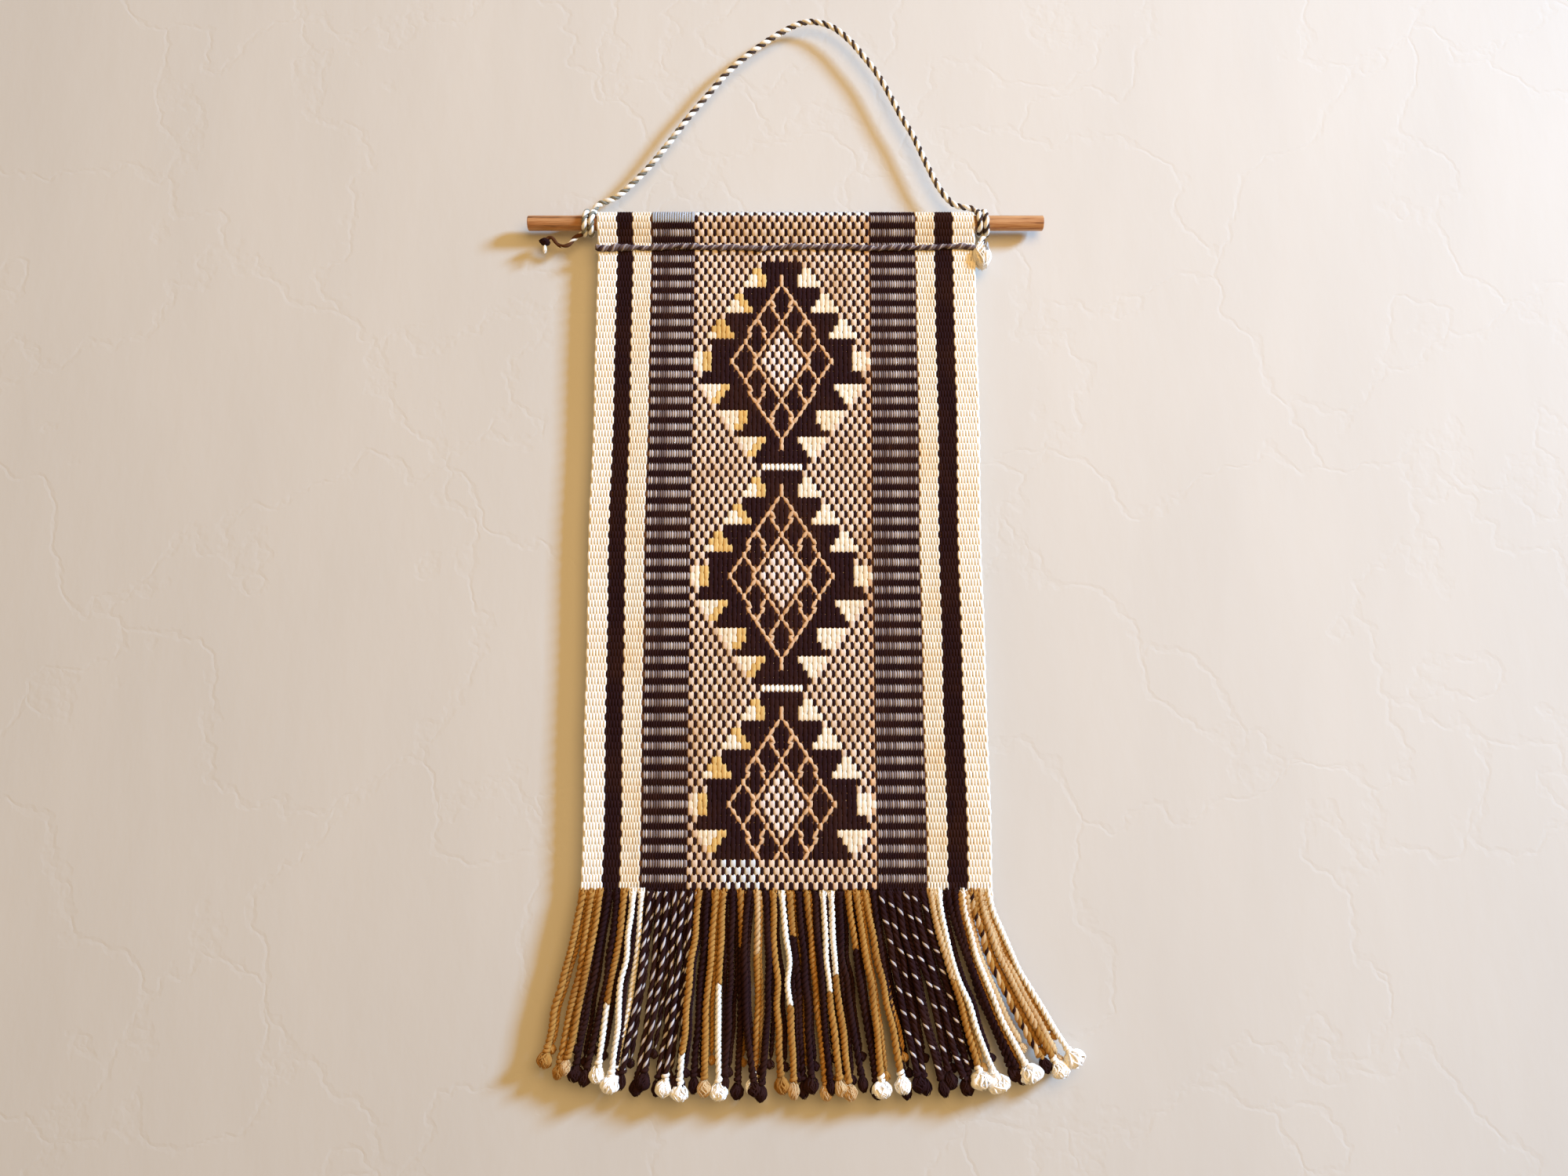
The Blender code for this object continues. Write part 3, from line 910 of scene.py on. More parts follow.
@dataclass
class Tuft:
    """The frayed end of a cord: a soft core with locks of fibre round it.

    Attributes:
        radius: half the tuft's width.
        length: how long it is.
        locks: how many locks of fibre it has.
    """
    radius: float
    length: float
    locks: int

    def add(self, mesh: YarnMesh, top: tuple[float, float, float], heading: tuple[float, float, float],
            tone: int, seed: int) -> None:
        """Add the tuft to a mesh.

        Args:
            mesh: the mesh that takes it.
            top: where the tuft starts.
            heading: the way it points.
            tone: the number of its finish.
            seed: what makes this tuft unlike the others.
        """
        rng = np.random.default_rng(seed)
        down = unit(np.array(heading, float))
        side = unit(np.array([1.0, 0, 0]) - down * down[0])
        front = np.cross(down, side)
        self.core(mesh, np.array(top), (down, side), tone, rng)
        steps = np.linspace(0, 1, len(LOCK_PROFILE))
        for lock in range(self.locks):
            angle = math.tau * lock * GOLDEN_SHARE + rng.uniform(-0.3, 0.3)
            out = side * math.cos(angle) + front * math.sin(angle)
            around = np.cross(down, out)
            start, finish = rng.uniform(0, 0.45), rng.uniform(0.7, 1.02)
            reach = start + (finish - start) * steps
            hug = self.swell(np.clip(reach, 0.04, 0.97)) * rng.uniform(0.84, 1.0)
            size = rng.uniform(0.2, 0.5) * self.radius
            curl = size * np.sin(math.pi * (steps * rng.uniform(0.8, 2.2) + rng.uniform(0, 2)))
            line = np.array(top) + down * (reach * self.length * 0.92)[:, None] + out * hug[:, None]
            line = line + around * curl[:, None]
            thick = self.radius * rng.uniform(0.06, 0.11) * LOCK_PROFILE
            mesh.sweep(line, np.tile(around, (len(steps), 1)), thick * 1.3, thick, 5, tone)

    def swell(self, share: np.ndarray) -> np.ndarray:
        """How far the tuft reaches from its middle, for each share of its length."""
        return np.sin(math.pi * share ** 1.15) ** 0.7 * self.radius

    def core(self, mesh: YarnMesh, top: np.ndarray, axes: tuple[np.ndarray, np.ndarray], tone: int,
             rng: np.random.Generator) -> None:
        """Add the lumpy body that the locks lie on.

        Args:
            mesh: the mesh that takes it.
            top: where the tuft starts.
            axes: the way it points and a side of it.
            tone: the number of its finish.
            rng: the source of its lumps.
        """
        down, side = axes
        rings, corners = 13, 12
        share = np.linspace(0, 1, rings)
        line = top + down * (share * self.length * 0.9)[:, None]
        line = line + side * (np.sin(share * 3 + rng.uniform(0, 6)) * self.radius * 0.2)[:, None]
        angles = np.arange(corners) * math.tau / corners
        lumps = 1 + 0.14 * np.sin(3 * angles + rng.uniform(0, 6) + 5 * share[:, None])
        lumps += 0.12 * np.sin(4 * angles - 8 * share[:, None] + rng.uniform(0, 6))
        body = (self.swell(np.clip(share, 0.02, 0.98)) * 0.95)[:, None] * lumps
        mesh.sweep(line, np.tile(side, (rings, 1)), body, body * 0.9, corners, tone)


# ---------------------------------------------------------------- woven cloth

class ClothRun:
    """The path of the cloth from its lower edge up the front, over the dowel and down to the raw hem."""

    def __init__(self, drop: float, hem: float, close: float, radius: float) -> None:
        """Work out the path.

        Args:
            drop: from the dowel's axis down to the cloth's lower edge.
            hem: from the axis down to the raw edge behind.
            close: from the axis down to where the sleeve closes.
            radius: from the axis to the middle of the cloth as it goes round.
        """
        half = 0.65 * MM
        lean = math.acos((radius - half) / close)
        arc = np.linspace(-lean, lean - math.tau, 41)
        points = [(-half, -drop), (-half, -close - 0.1 * MM)]
        points += [(radius * math.sin(a), -radius * math.cos(a)) for a in arc]
        points += [(half, -close - 0.1 * MM), (half, -hem)]
        rough = np.array(points)
        along = lengths(rough)
        self.length = float(along[-1])
        self.steps = np.linspace(0, self.length, 1500)
        fine = np.stack([np.interp(self.steps, along, rough[:, i]) for i in range(2)], axis=1)
        window = np.ones(7) / 7
        padded = np.pad(fine, ((3, 3), (0, 0)), mode="edge")
        self.places = np.stack([np.convolve(padded[:, i], window, "valid") for i in range(2)], axis=1)
        self.places[0], self.places[-1] = fine[0], fine[-1]
        run = unit(np.gradient(self.places, axis=0))
        self.outward = np.stack([-run[:, 1], run[:, 0]], axis=1)

    def at(self, along: np.ndarray, across: np.ndarray, level: np.ndarray) -> np.ndarray:
        """Points of the cloth.

        Args:
            along: how far from the lower edge, measured on the cloth.
            across: how far right of the dowel's middle.
            level: how far in front of the cloth's middle.

        Returns:
            The points in the frame's metres.
        """
        y, z = (np.interp(along, self.steps, self.places[:, i]) for i in range(2))
        out_y, out_z = (np.interp(along, self.steps, self.outward[:, i]) for i in range(2))
        free = np.clip((self.length - 60 * MM - along) / (200 * MM), 0, 1)
        ripple = 0.45 * MM * free * np.sin(across / (19 * MM) + 1.1 + along / (70 * MM))
        ripple = ripple + 0.25 * MM * free * np.sin(across / (8.5 * MM) - along / (45 * MM))
        sway = 0.35 * MM * np.sin(along / (31 * MM) + 0.6) + 0.2 * MM * np.sin(along / (13 * MM))
        edge = sway * np.abs(across) / (80 * MM)
        x = np.broadcast_to(across + edge, y.shape)
        place = np.stack([x, y + out_y * (level + ripple), z + out_z * (level + ripple)], axis=1)
        return place + np.array(DOWEL_MIDDLE)


class Cell(Enum):
    """What shows at one crossing of a column and a pick of the patterned band."""
    DARK = "dark"
    CREAM = "cream"
    WHITE = "white"
    PAINTED_SHADE_OCHRE = "ochre"
    LINE = "line"
    PINK = "pink"
    BLEACH_AND_HIGHLIGHT = "frost"
    IVORY = "ivory"


@dataclass(frozen=True)
class Motif:
    """The stepped lozenge with a lattice inside it.

    Attributes:
        half_widths: its half-width in columns at each pick, from the top down.
        lattice_columns: the lattice's half-width in columns.
        lattice_picks: its half-height in picks.
        step_reach: how far out each step's white reaches, in columns, from the top step down.
        waist_pick: the first pick of the waist, whose white is given pick by pick.
        waist_reach: how far out the white of the waist reaches.
        painted_shade_picks: the picks whose white is painted with a broad ochre shade on the left, the side
            away from the key light.
    """
    half_widths: tuple[int, ...] = (
        4, 4, 3, 3, 8, 8, 7, 6, 12, 12, 11, 10, 16, 15, 15, 15, 15, 16, 17, 11, 12, 13, 13, 7, 7, 8, 9,
        3, 4, 5, 5)
    lattice_columns: float = 11.0
    lattice_picks: float = 12.5
    step_reach: tuple[int, ...] = (8, 12, 16)
    waist_pick: int = 12
    waist_reach: tuple[float, ...] = (0, 0, 18.5, 19.5)
    painted_shade_picks: tuple[int, ...] = (9, 10, 11)

    @property
    def picks(self) -> int:
        """How many picks the motif takes."""
        return len(self.half_widths)

    def halo(self, pick: int) -> float:
        """How far out the plain white beside the dark steps reaches.

        Args:
            pick: counted down from the motif's top.

        Returns:
            The reach in columns, or 0 where there is none.
        """
        middle = self.picks // 2
        place = pick if pick <= middle else self.picks - 1 - pick
        if place >= self.waist_pick:
            return self.waist_reach[place - self.waist_pick]
        picks_per_step = self.waist_pick // len(self.step_reach)
        step, part = divmod(place, picks_per_step)
        if part == 0:
            return 0
        return self.step_reach[step] - 2.5 + part + (0 if pick <= middle else 1)

    def crossings(self, pick: int, way: int) -> set[int]:
        """The columns that the lattice lines of one direction take at a pick.

        Args:
            pick: counted down from the motif's top.
            way: 1 for the lines that climb to the right and -1 for the others.

        Returns:
            The columns.
        """
        rise = (pick - self.picks // 2) / self.lattice_picks
        return {round((line - way * rise) * self.lattice_columns) for line in (-1, -0.5, 0, 0.5, 1)}

    def lean(self, pick: int, column: int) -> int:
        """Which way the lattice line at a place runs, if only one does."""
        return (column in self.crossings(pick, 1)) - (column in self.crossings(pick, -1))

    def cell(self, pick: int, column: int, seed: bool) -> Cell:
        """What shows at one place of the motif.

        Args:
            pick: counted down from the motif's top.
            column: counted right from the middle of the band.
            seed: whether a dark seed of the ground falls here.

        Returns:
            The yarn that shows.
        """
        rise = (pick - self.picks // 2) / self.lattice_picks
        u, v = column / self.lattice_columns + rise, column / self.lattice_columns - rise
        near = 0.5 / self.lattice_columns
        if max(abs(u), abs(v)) < 1 + near:
            if max(abs(u), abs(v)) < 0.5 - near:
                return Cell.DARK if seed else Cell.PINK
            crossed = self.crossings(pick, 1) | self.crossings(pick, -1)
            return Cell.LINE if column in crossed else Cell.DARK
        half = self.half_widths[pick]
        if abs(column) <= half:
            return Cell.DARK
        if abs(column) <= self.halo(pick):
            # Left of the dark steps the white takes a painted ochre shade, away from the key light; the rest
            # is plain ivory.
            rim = 4 if pick in self.painted_shade_picks else 2
            return Cell.PAINTED_SHADE_OCHRE if column < 0 and -column <= half + rim else Cell.IVORY
        return Cell.DARK if seed else Cell.CREAM


@dataclass
class PatternBand:
    """The middle of the cloth, where one dark and one light warp share every column.

    Attributes:
        left: its left edge, from the dowel's middle.
        columns: how many columns it has.
        column_pitch: the width of a column.
        top_picks: the top pick of each motif.
        seed_picks: how many picks at the lower edge no motif reaches.
        bead_picks: the picks of the white bars between motifs.
        bead_half: half a bar's width, in columns.
        painted_highlight_picks: the picks over the dowel, painted whitish as the highlight of the cool key
            light on the fold's top.
        bleached: the first and last column of the whitish patch at the lower edge.
        bleached_picks: how many picks it is high.
        motif: the motif.
    """
    left: float = -38.7 * MM
    columns: int = 39
    column_pitch: float = 74.0 / 39 * MM
    top_picks: tuple[int, ...] = (90, 58, 26)
    seed_picks: int = 4
    bead_picks: tuple[int, ...] = (59, 27)
    bead_half: int = 4
    painted_highlight_picks: tuple[int, ...] = (98, 99, 100)
    bleached: tuple[int, int] = (-12, -5)
    bleached_picks: int = 5
    motif: Motif = field(default_factory=Motif)

    def cell(self, pick: int, column: int) -> Cell:
        """What shows at one place of the band.

        Args:
            pick: counted up from the cloth's lower edge.
            column: counted right from the middle of the band.

        Returns:
            The yarn that shows.
        """
        seed = (pick + column) % 2 == 0
        if pick in self.bead_picks and abs(column) <= self.bead_half:
            return Cell.WHITE
        for top in self.top_picks:
            if 0 <= top - pick < self.motif.picks and pick >= self.seed_picks:
                return self.motif.cell(top - pick, column, seed)
        if seed:
            return Cell.DARK
        # Over the dowel the cream is painted whitish as highlight; the patch at the lower edge is bleached.
        bleached = pick < self.bleached_picks and self.bleached[0] <= column <= self.bleached[1]
        return Cell.BLEACH_AND_HIGHLIGHT if pick in self.painted_highlight_picks or bleached else Cell.CREAM

    def lean(self, pick: int, column: int) -> int:
        """Which way a lattice line runs where it crosses a place of the band.

        Args:
            pick: counted up from the cloth's lower edge.
            column: counted right from the middle of the band.

        Returns:
            1 where the line climbs to the right, -1 to the left, and 0 where two lines meet.
        """
        for top in self.top_picks:
            if 0 <= top - pick < self.motif.picks:
                return self.motif.lean(top - pick, column)
        return 0


class StripeTone(Enum):
    """The yarn of a plain stripe, or the two yarns of a ladder."""
    DARK = "dark"
    WHITE = "white"
    CREAM = "cream"
    LADDER = "ladder"


class LadderYarn(IntEnum):
    """The finishes of a ladder, by their numbers in its mesh."""
    DARK = 0
    GREY = 1
    PALE_GREY = 2
    SMOKE = 3
    PAINTED_BLUE_CAST = 4


@dataclass(frozen=True)
class Stripe:
    """One plain stripe of the border or one ladder, counted from the cloth's left edge.

    Attributes:
        width: how wide it is.
        pitch: about how far apart its warps are.
        tone: its yarn.
    """
    width: float
    pitch: float
    tone: StripeTone


@dataclass(frozen=True)
class FloatShape:
    """How a warp goes over and under, with its half-widths as shares of the distance between warps.

    Attributes:
        middle: a lone float at its middle.
        quarter: a lone float at its quarters.
        solid: inside a longer float.
        hidden: behind the cloth.
        crossing: where the warp changes face.
        bias: how far forward of the cloth's middle it changes face, from -1 to 1.
        corners: how many sides the yarn has.
        nip: the share of its width that a long float loses where it is nipped.
    """
    middle: float
    quarter: float
    solid: float
    hidden: float
    crossing: float
    bias: float
    corners: int = 5
    nip: float = 0.3


DARK_FLOAT = FloatShape(0.37, 0.35, 0.56, 0.32, 0.28, 0.6, 6)
LIGHT_FLOAT = FloatShape(0.74, 0.70, 0.60, 0.5, 0.60, 0.1, 6)
STRIPE_FLOAT = FloatShape(0.58, 0.54, 0.5, 0.46, 0.44, 0.15)
RUNG_FLOAT = FloatShape(0.56, 0.56, 0.5, 0.3, 0.42, 0.2)
GAP_FLOAT = FloatShape(0.52, 0.47, 0.52, 0.3, 0.3, 0.05)


@dataclass
class WovenCloth:
    """The warp-faced cloth with its weft, made warp by warp.

    Attributes:
        width: the cloth's width.
        drop: from the dowel's axis down to its lower edge.
        hem_drop: from the axis down to the raw edge behind.
        close: from the axis down to where the sleeve closes.
        radius: from the axis to the middle of the cloth as it goes round.
        pick: the height of one pick.
        thickness: the cloth's thickness.
        per_pick: how many rings of a warp a pick has.
        weft_half: half the thickness of the weft's ground.
        top_picks: the picks of the left ladder that are all painted blue-grey, as the highlight of the cool
            key light on the fold's top.
        bead_widths: the most that a bar's bead takes at each ring of a pick, in shares of the column.
        line_widths: the same for a lattice line.
        nipping: how far a long float dips at every other pick, from 0 to 1.
        wander: how far a warp strays sideways.
        warp_seed: what the straying starts from.
        stripes_left: the stripes left of the patterned band.
        stripes_right: the stripes right of it.
        band: the patterned band.
    """
    width: float = 160.4 * MM
    drop: float = 277.1 * MM
    hem_drop: float = 14.0 * MM
    close: float = 9.5 * MM
    radius: float = 4.125 * MM
    pick: float = 2.848 * MM
    thickness: float = 1.3 * MM
    per_pick: int = 4
    weft_half: float = 0.09 * MM
    top_picks: tuple[int, ...] = (97, 98, 99)
    bead_widths: tuple[float, ...] = (0.3, 0.44, 0.5, 0.44)
    line_widths: tuple[float, ...] = (0.34, 0.44, 0.46, 0.44)
    nipping: float = 0.8
    wander: float = 0.05 * MM
    warp_seed: int = 9000
    stripes_left: tuple[Stripe, ...] = (
        Stripe(8.7 * MM, 1.2 * MM, StripeTone.WHITE), Stripe(6.2 * MM, 1.2 * MM, StripeTone.DARK),
        Stripe(8.2 * MM, 1.2 * MM, StripeTone.CREAM), Stripe(18.4 * MM, 1.0 * MM, StripeTone.LADDER))
    stripes_right: tuple[Stripe, ...] = (
        Stripe(19.5 * MM, 1.0 * MM, StripeTone.LADDER), Stripe(8.4 * MM, 1.2 * MM, StripeTone.CREAM),
        Stripe(7.2 * MM, 1.2 * MM, StripeTone.DARK), Stripe(9.8 * MM, 1.2 * MM, StripeTone.WHITE))
    band: PatternBand = field(default_factory=PatternBand)

    def __post_init__(self) -> None:
        """Work out the cloth's path, its picks and the rings of a warp."""
        self.run = ClothRun(self.drop, self.hem_drop, self.close, self.radius)
        self.picks = math.ceil(self.run.length / self.pick)
        self.lift = self.thickness / 4
        count = int(self.run.length / self.pick * self.per_pick)
        self.rings = np.arange(count + 1)
        self.along = self.rings * self.pick / self.per_pick

    def warp(self, mesh: YarnMesh, across: float, up: np.ndarray, widths: np.ndarray,
             tone: int | np.ndarray, pinch: np.ndarray, shape: FloatShape,
             lean: np.ndarray | None = None) -> None:
        """Add one warp yarn that shows where it is up.

        Args:
            mesh: the mesh that takes it.
            across: how far right of the dowel's middle it runs.
            up: for each pick, whether it is on the face.
            widths: half its width at each ring.
            tone: its finish, or one for each pick.
            pinch: how far each pick's start dips between two floats on the same face, from 0 to 1.
            shape: how it goes over and under.
            lean: for each pick, how far its float leans to the right as it climbs.
        """
        pick, part = self.rings // self.per_pick, self.rings % self.per_pick
        if lean is not None:
            here, below = np.minimum(pick, self.picks - 1), np.clip(pick - 1, 0, self.picks - 1)
            start = np.where(lean[here] != 0, -lean[here], lean[below])
            across = across + np.where(part == 0, start, lean[here] * (part / 2 - 1)) / 2
        now = np.where(up[np.minimum(pick, self.picks - 1)], 1.0, -1.0)
        before = np.where(up[np.clip(pick - 1, 0, self.picks - 1)], 1.0, -1.0)
        hump = np.choose(part, [0.0, 0.86, 1.0, 0.86])
        flat = (1 - pinch[np.minimum(pick, self.picks - 1)]) * now
        level = np.where(part == 0, np.where(now == before, flat, shape.bias), now * hump) * self.lift
        rng = np.random.default_rng(int(round(np.max(across) / MM * 50)) + self.warp_seed)
        knots = self.along[::8]
        wander = np.interp(self.along, knots, rng.normal(0, self.wander, len(knots)))
        line = self.run.at(self.along, across + wander, level)
        side = np.tile([1.0, 0.0, 0.0], (len(line), 1))
        tones = tone if np.isscalar(tone) else tone[np.minimum(pick[:-1], self.picks - 1)]
        depth = np.full(len(line), self.lift * 1.02)
        mesh.sweep(line, side, widths, depth, shape.corners, tones)

    def float_widths(self, up: np.ndarray, pitch: float, shape: FloatShape, pinch: np.ndarray) -> np.ndarray:
        """Half the width of a warp at each ring.

        Args:
            up: for each pick, whether it is on the face.
            pitch: the distance between the band's columns.
            shape: how the warp goes over and under.
            pinch: for each pick, whether a long float is nipped there.

        Returns:
            The half-widths in metres.
        """
        pick, part = self.rings // self.per_pick, self.rings % self.per_pick
        here = np.minimum(pick, self.picks - 1)
        before, after = np.clip(pick - 1, 0, self.picks - 1), np.clip(pick + 1, 0, self.picks - 1)
        lone = up[here] & ~up[before] & ~up[after]
        middle = np.where(lone, shape.middle, shape.solid)
        quarter = np.where(lone, shape.quarter, shape.solid * 0.98)
        width = np.where(part == 2, middle, quarter)
        width = np.where(up[here], width, shape.hidden)
        changes = up[here] != up[before]
        nipped = shape.solid * (1 - shape.nip * pinch[here])
        at_start = np.where(changes, shape.crossing, np.where(up[here], nipped, shape.hidden))
        return np.where(part == 0, at_start, width) * pitch

    def centre(self) -> list[bpy.types.Object]:
        """The two sets of warps of the patterned band.

        Returns:
            The dark and the light piece.
        """
        band = self.band
        dark = YarnMesh("centre_dark_warps", [DARK])
        # The ochre finish is painted shade, the line finish is cream painted in a tan shade, and the frost
        # finish over the dowel is painted highlight.
        light_finishes = {Cell.CREAM: CREAM, Cell.WHITE: WHITE, Cell.PAINTED_SHADE_OCHRE: PAINTED_SHADE_OCHRE, Cell.LINE: PAINTED_SHADE_CREAM,
                          Cell.PINK: PINK, Cell.BLEACH_AND_HIGHLIGHT: BLEACH_AND_HIGHLIGHT, Cell.IVORY: IVORY}
        light = YarnMesh("centre_light_warps", list(light_finishes.values()))
        numbers = {cell: i for i, cell in enumerate(light_finishes)}
        half, pitch, picks = band.columns // 2, band.column_pitch, np.arange(self.picks)
        for column in range(-half, half + 1):
            cells = [band.cell(pick, column) for pick in range(self.picks)]
            up = np.array([cell is Cell.DARK for cell in cells])
            tones = self.light_tones(cells, numbers, column)
            pinch = ((picks + column) % 2) * self.nipping
            beads = np.isin(picks, band.bead_picks) & (abs(column) <= band.bead_half)
            middle = band.left + (column + half + 0.5) * pitch
            thin = np.array([cell is Cell.LINE for cell in cells])
            lean = np.array([band.lean(pick, column) for pick in range(self.picks)]) * pitch * thin
            widths = self.float_widths(up, pitch, DARK_FLOAT, pinch)
            self.warp(dark, middle - 0.03 * pitch, up, widths, 0, pinch, DARK_FLOAT)
            widths = self.float_widths(~up, pitch, LIGHT_FLOAT, pinch)
            widths = self.slimmed(widths, beads, self.bead_widths)
            widths = self.slimmed(widths, thin, self.line_widths)
            self.warp(light, middle + 0.03 * pitch, ~up, widths, tones, pinch, LIGHT_FLOAT, lean)
        return [dark.build(), light.build()]

    def slimmed(self, widths: np.ndarray, where: np.ndarray, most: tuple[float, ...]) -> np.ndarray:
        """The half-widths of a light warp, kept narrow where it makes a bead or a lattice line.

        Args:
            widths: its half-widths at each ring.
            where: for each pick, whether it is kept narrow there.
            most: the most that it may take at each ring of a pick, in shares of the column.

        Returns:
            The half-widths in metres.
        """
        here = np.minimum(self.rings // self.per_pick, self.picks - 1)
        below = np.maximum(here - 1, 0)
        limit = np.array(most)[self.rings % self.per_pick] * self.band.column_pitch
        return np.where(where[here] | where[below], np.minimum(widths, limit), widths)

    def light_tones(self, cells: list[Cell], numbers: dict[Cell, int], column: int) -> np.ndarray:
        """The finish of a light warp at each pick: where it is hidden, it is as on the pick below.

        Args:
            cells: what shows at each pick of the column.
            numbers: the number of each light finish.
            column: counted from the band's middle.

        Returns:
            One number for each pick.
        """
        tones = np.zeros(len(cells), int)
        last = numbers[Cell.CREAM]
        for pick, cell in enumerate(cells):
            last = numbers.get(cell, last if cell is not Cell.DARK else numbers[Cell.CREAM])
            tones[pick] = last
        # The middle column's cream takes the same painted tan shade as the lattice lines.
        if column == self.band.columns // 2:
            tones[tones == numbers[Cell.CREAM]] = numbers[Cell.LINE]
        return tones

    def stripe(self, mesh: YarnMesh, stripe: Stripe, left: float) -> None:
        """Add the warps of one plain stripe, whose two sets of warps take turns on the face.

        Args:
            mesh: the mesh that takes them.
            stripe: the stripe.
            left: where it starts, from the dowel's middle.
        """
        count = round(stripe.width / stripe.pitch)
        pitch = stripe.width / count
        even = np.arange(self.picks) % 2 == 0
        none = np.zeros(self.picks)
        tone = [StripeTone.WHITE, StripeTone.CREAM, StripeTone.DARK].index(stripe.tone)
        for i in range(2 * count + 1):
            outer = i in (0, 2 * count)
            if outer and stripe.tone is not StripeTone.DARK:
                continue
            up = even if i % 2 else ~even
            share = 0.72 if outer else 1.0
            widths = self.float_widths(up, pitch * share, STRIPE_FLOAT, none)
            self.warp(mesh, left + i * pitch / 2, up, widths, tone, none, STRIPE_FLOAT)

    def ladder(self, mesh: YarnMesh, stripe: Stripe, left: float) -> None:
        """Add the warps of one ladder, black on even picks and grey on odd ones.

        Args:
            mesh: the mesh that takes them.
            stripe: the stripe.
            left: where it starts, from the dowel's middle.
        """
        count = round(stripe.width / stripe.pitch)
        pitch = stripe.width / count
        none = np.zeros(self.picks)
        # Painted highlight: the left ladder's top picks are all blue-grey, as lit by the cool key where the
        # fold turns over the dowel.
        painted_blue_top = np.isin(np.arange(self.picks), self.top_picks) & (left < 0)
        up = (np.arange(self.picks) % 2 == 0) & ~painted_blue_top
        rng = np.random.default_rng(int(abs(left) / MM))
        for i in range(count):
            middle = left + (i + 0.5) * pitch
            widths = self.float_widths(up, pitch, RUNG_FLOAT, none)
            self.warp(mesh, middle, up, widths, LadderYarn.DARK, none, RUNG_FLOAT)
            grey = rng.choice([LadderYarn.GREY, LadderYarn.GREY, LadderYarn.PALE_GREY, LadderYarn.SMOKE])
            grey = np.where(painted_blue_top, LadderYarn.PAINTED_BLUE_CAST, grey)
            widths = self.float_widths(~up, pitch, GAP_FLOAT, none)
            self.warp(mesh, middle + pitch / 2 * (i < count - 1), ~up, widths, grey, none, GAP_FLOAT)

    def borders(self) -> list[bpy.types.Object]:
        """The plain stripes and ladders on both sides.

        Returns:
            Two pieces for each side.
        """
        made = []
        for side, stripes, left in (("left", self.stripes_left, -self.width / 2),
                                    ("right", self.stripes_right, self.band.left + self.band.columns
                                     * self.band.column_pitch)):
            plain = YarnMesh(f"{side}_border_warps", [WHITE, PEACH, DARK])
            ladder = YarnMesh(f"{side}_ladder_warps", [DARK, GREY, PALE_GREY, SMOKE, PAINTED_BLUE_CAST])
            for stripe in stripes:
                if stripe.tone is StripeTone.LADDER:
                    self.ladder(ladder, stripe, left)
                else:
                    self.stripe(plain, stripe, left)
                left += stripe.width
            made += [plain.build(), ladder.build()]
        return made

    def weft(self) -> bpy.types.Object:
        """The weft, as a thin ribbed ground that the warps pass through.

        Returns:
            The piece.
        """
        mesh = YarnMesh("weft_ground", [WEFT])
        half = self.width / 2 - 0.6 * MM
        across = np.linspace(-half, half, 61)
        rows = []
        for row in self.along:
            rib = 0.06 * MM * math.cos(math.tau * row / self.pick)
            level = np.full(len(across), rib)
            here = np.full(len(across), row)
            front = self.run.at(here, across, level + self.weft_half)
            back = self.run.at(here, across, level - self.weft_half)
            rows.append(np.concatenate([front, back[::-1]]))
        rings = np.array(rows)
        straight = np.stack([rings[..., 0], rings[..., 2], rings[..., 1]], axis=-1)
        mesh.rings(rings, straight)
        return mesh.build()

    def build(self) -> tuple[bpy.types.Object, list[bpy.types.Object]]:
        """Make the cloth.

        Returns:
            The weft ground, which stands for the cloth, and the warps on it.
        """
        ground = self.weft()
        warps = [*self.centre(), *self.borders()]
        for piece in [ground, *warps]:
            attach(piece, "cloth")
        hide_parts("woven_panel")
        return ground, warps


@dataclass
class HemStitch:
    """The dark twined line that closes the sleeve across the front.

    Attributes:
        drop: from the dowel's axis down to the line.
        width: its length.
        pitch: the length of one turn of its strands.
        front: how far behind the dowel's axis it lies, which is negative in front.
    """
    drop: float = 11.8 * MM
    width: float = 160.8 * MM
    pitch: float = 4.2 * MM
    front: float = -1.75 * MM

    def build(self) -> bpy.types.Object:
        """Twine the strands across the cloth.

        Returns:
            The piece.
        """
        x = np.arange(-self.width / 2, self.width / 2, 0.4 * MM)
        wave = 0.32 * MM * np.sin(x / (9 * MM)) + 0.22 * MM * np.sin(x / (3.7 * MM) + 1)
        wave = wave + 0.14 * MM * np.sin(x / (1.3 * MM))
        line = np.stack([x, np.full(len(x), self.front), wave - self.drop], axis=1) + np.array(DOWEL_MIDDLE)
        sides = np.tile([0.0, 0.0, 1.0], (len(x), 1))
        along = x + self.width
        thick = 1.15 + 0.45 * np.exp(-((x + self.width / 2 - 6 * MM) / (7 * MM)) ** 2)
        thick = thick + 0.16 * np.sin(x / (2.3 * MM)) + 0.1 * np.sin(x / (0.9 * MM))
        mesh = YarnMesh("twined_stitch", [STITCH, SMOKE, GREY])
        plies = [Ply(0, 0.62 * MM, 0.44 * MM, 0.0), Ply(1, 0.54 * MM, 0.44 * MM, math.pi),
                 Ply(2, 0.30 * MM, 0.84 * MM, 1.7)]
        twist(mesh, line, sides, along, plies, self.pitch, Hand.S, thick)
        made = mesh.build()
        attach(made, "cloth")
        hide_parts("hem_stitch")
        return made


# ---------------------------------------------------------------- fringe

class FringeYarn(IntEnum):
    """The finishes of the fringe, by their numbers in its meshes."""
    TAN = 0
    PALE_TAN = 1
    WHITE = 2
    DARK = 3
    PAINTED_LIT_WHITE = 4
    GREY = 5


class Yarn(Enum):
    """What a stretch of a fringe cord is plied from."""
    TAN = "tan"
    PALE = "pale tan"
    WHITE = "white"
    DARK = "dark"
    FLECKED = "dark plied with two greys"
    SPARSE = "dark plied with one grey"
    TAN_FLECKED = "tan plied with dark"


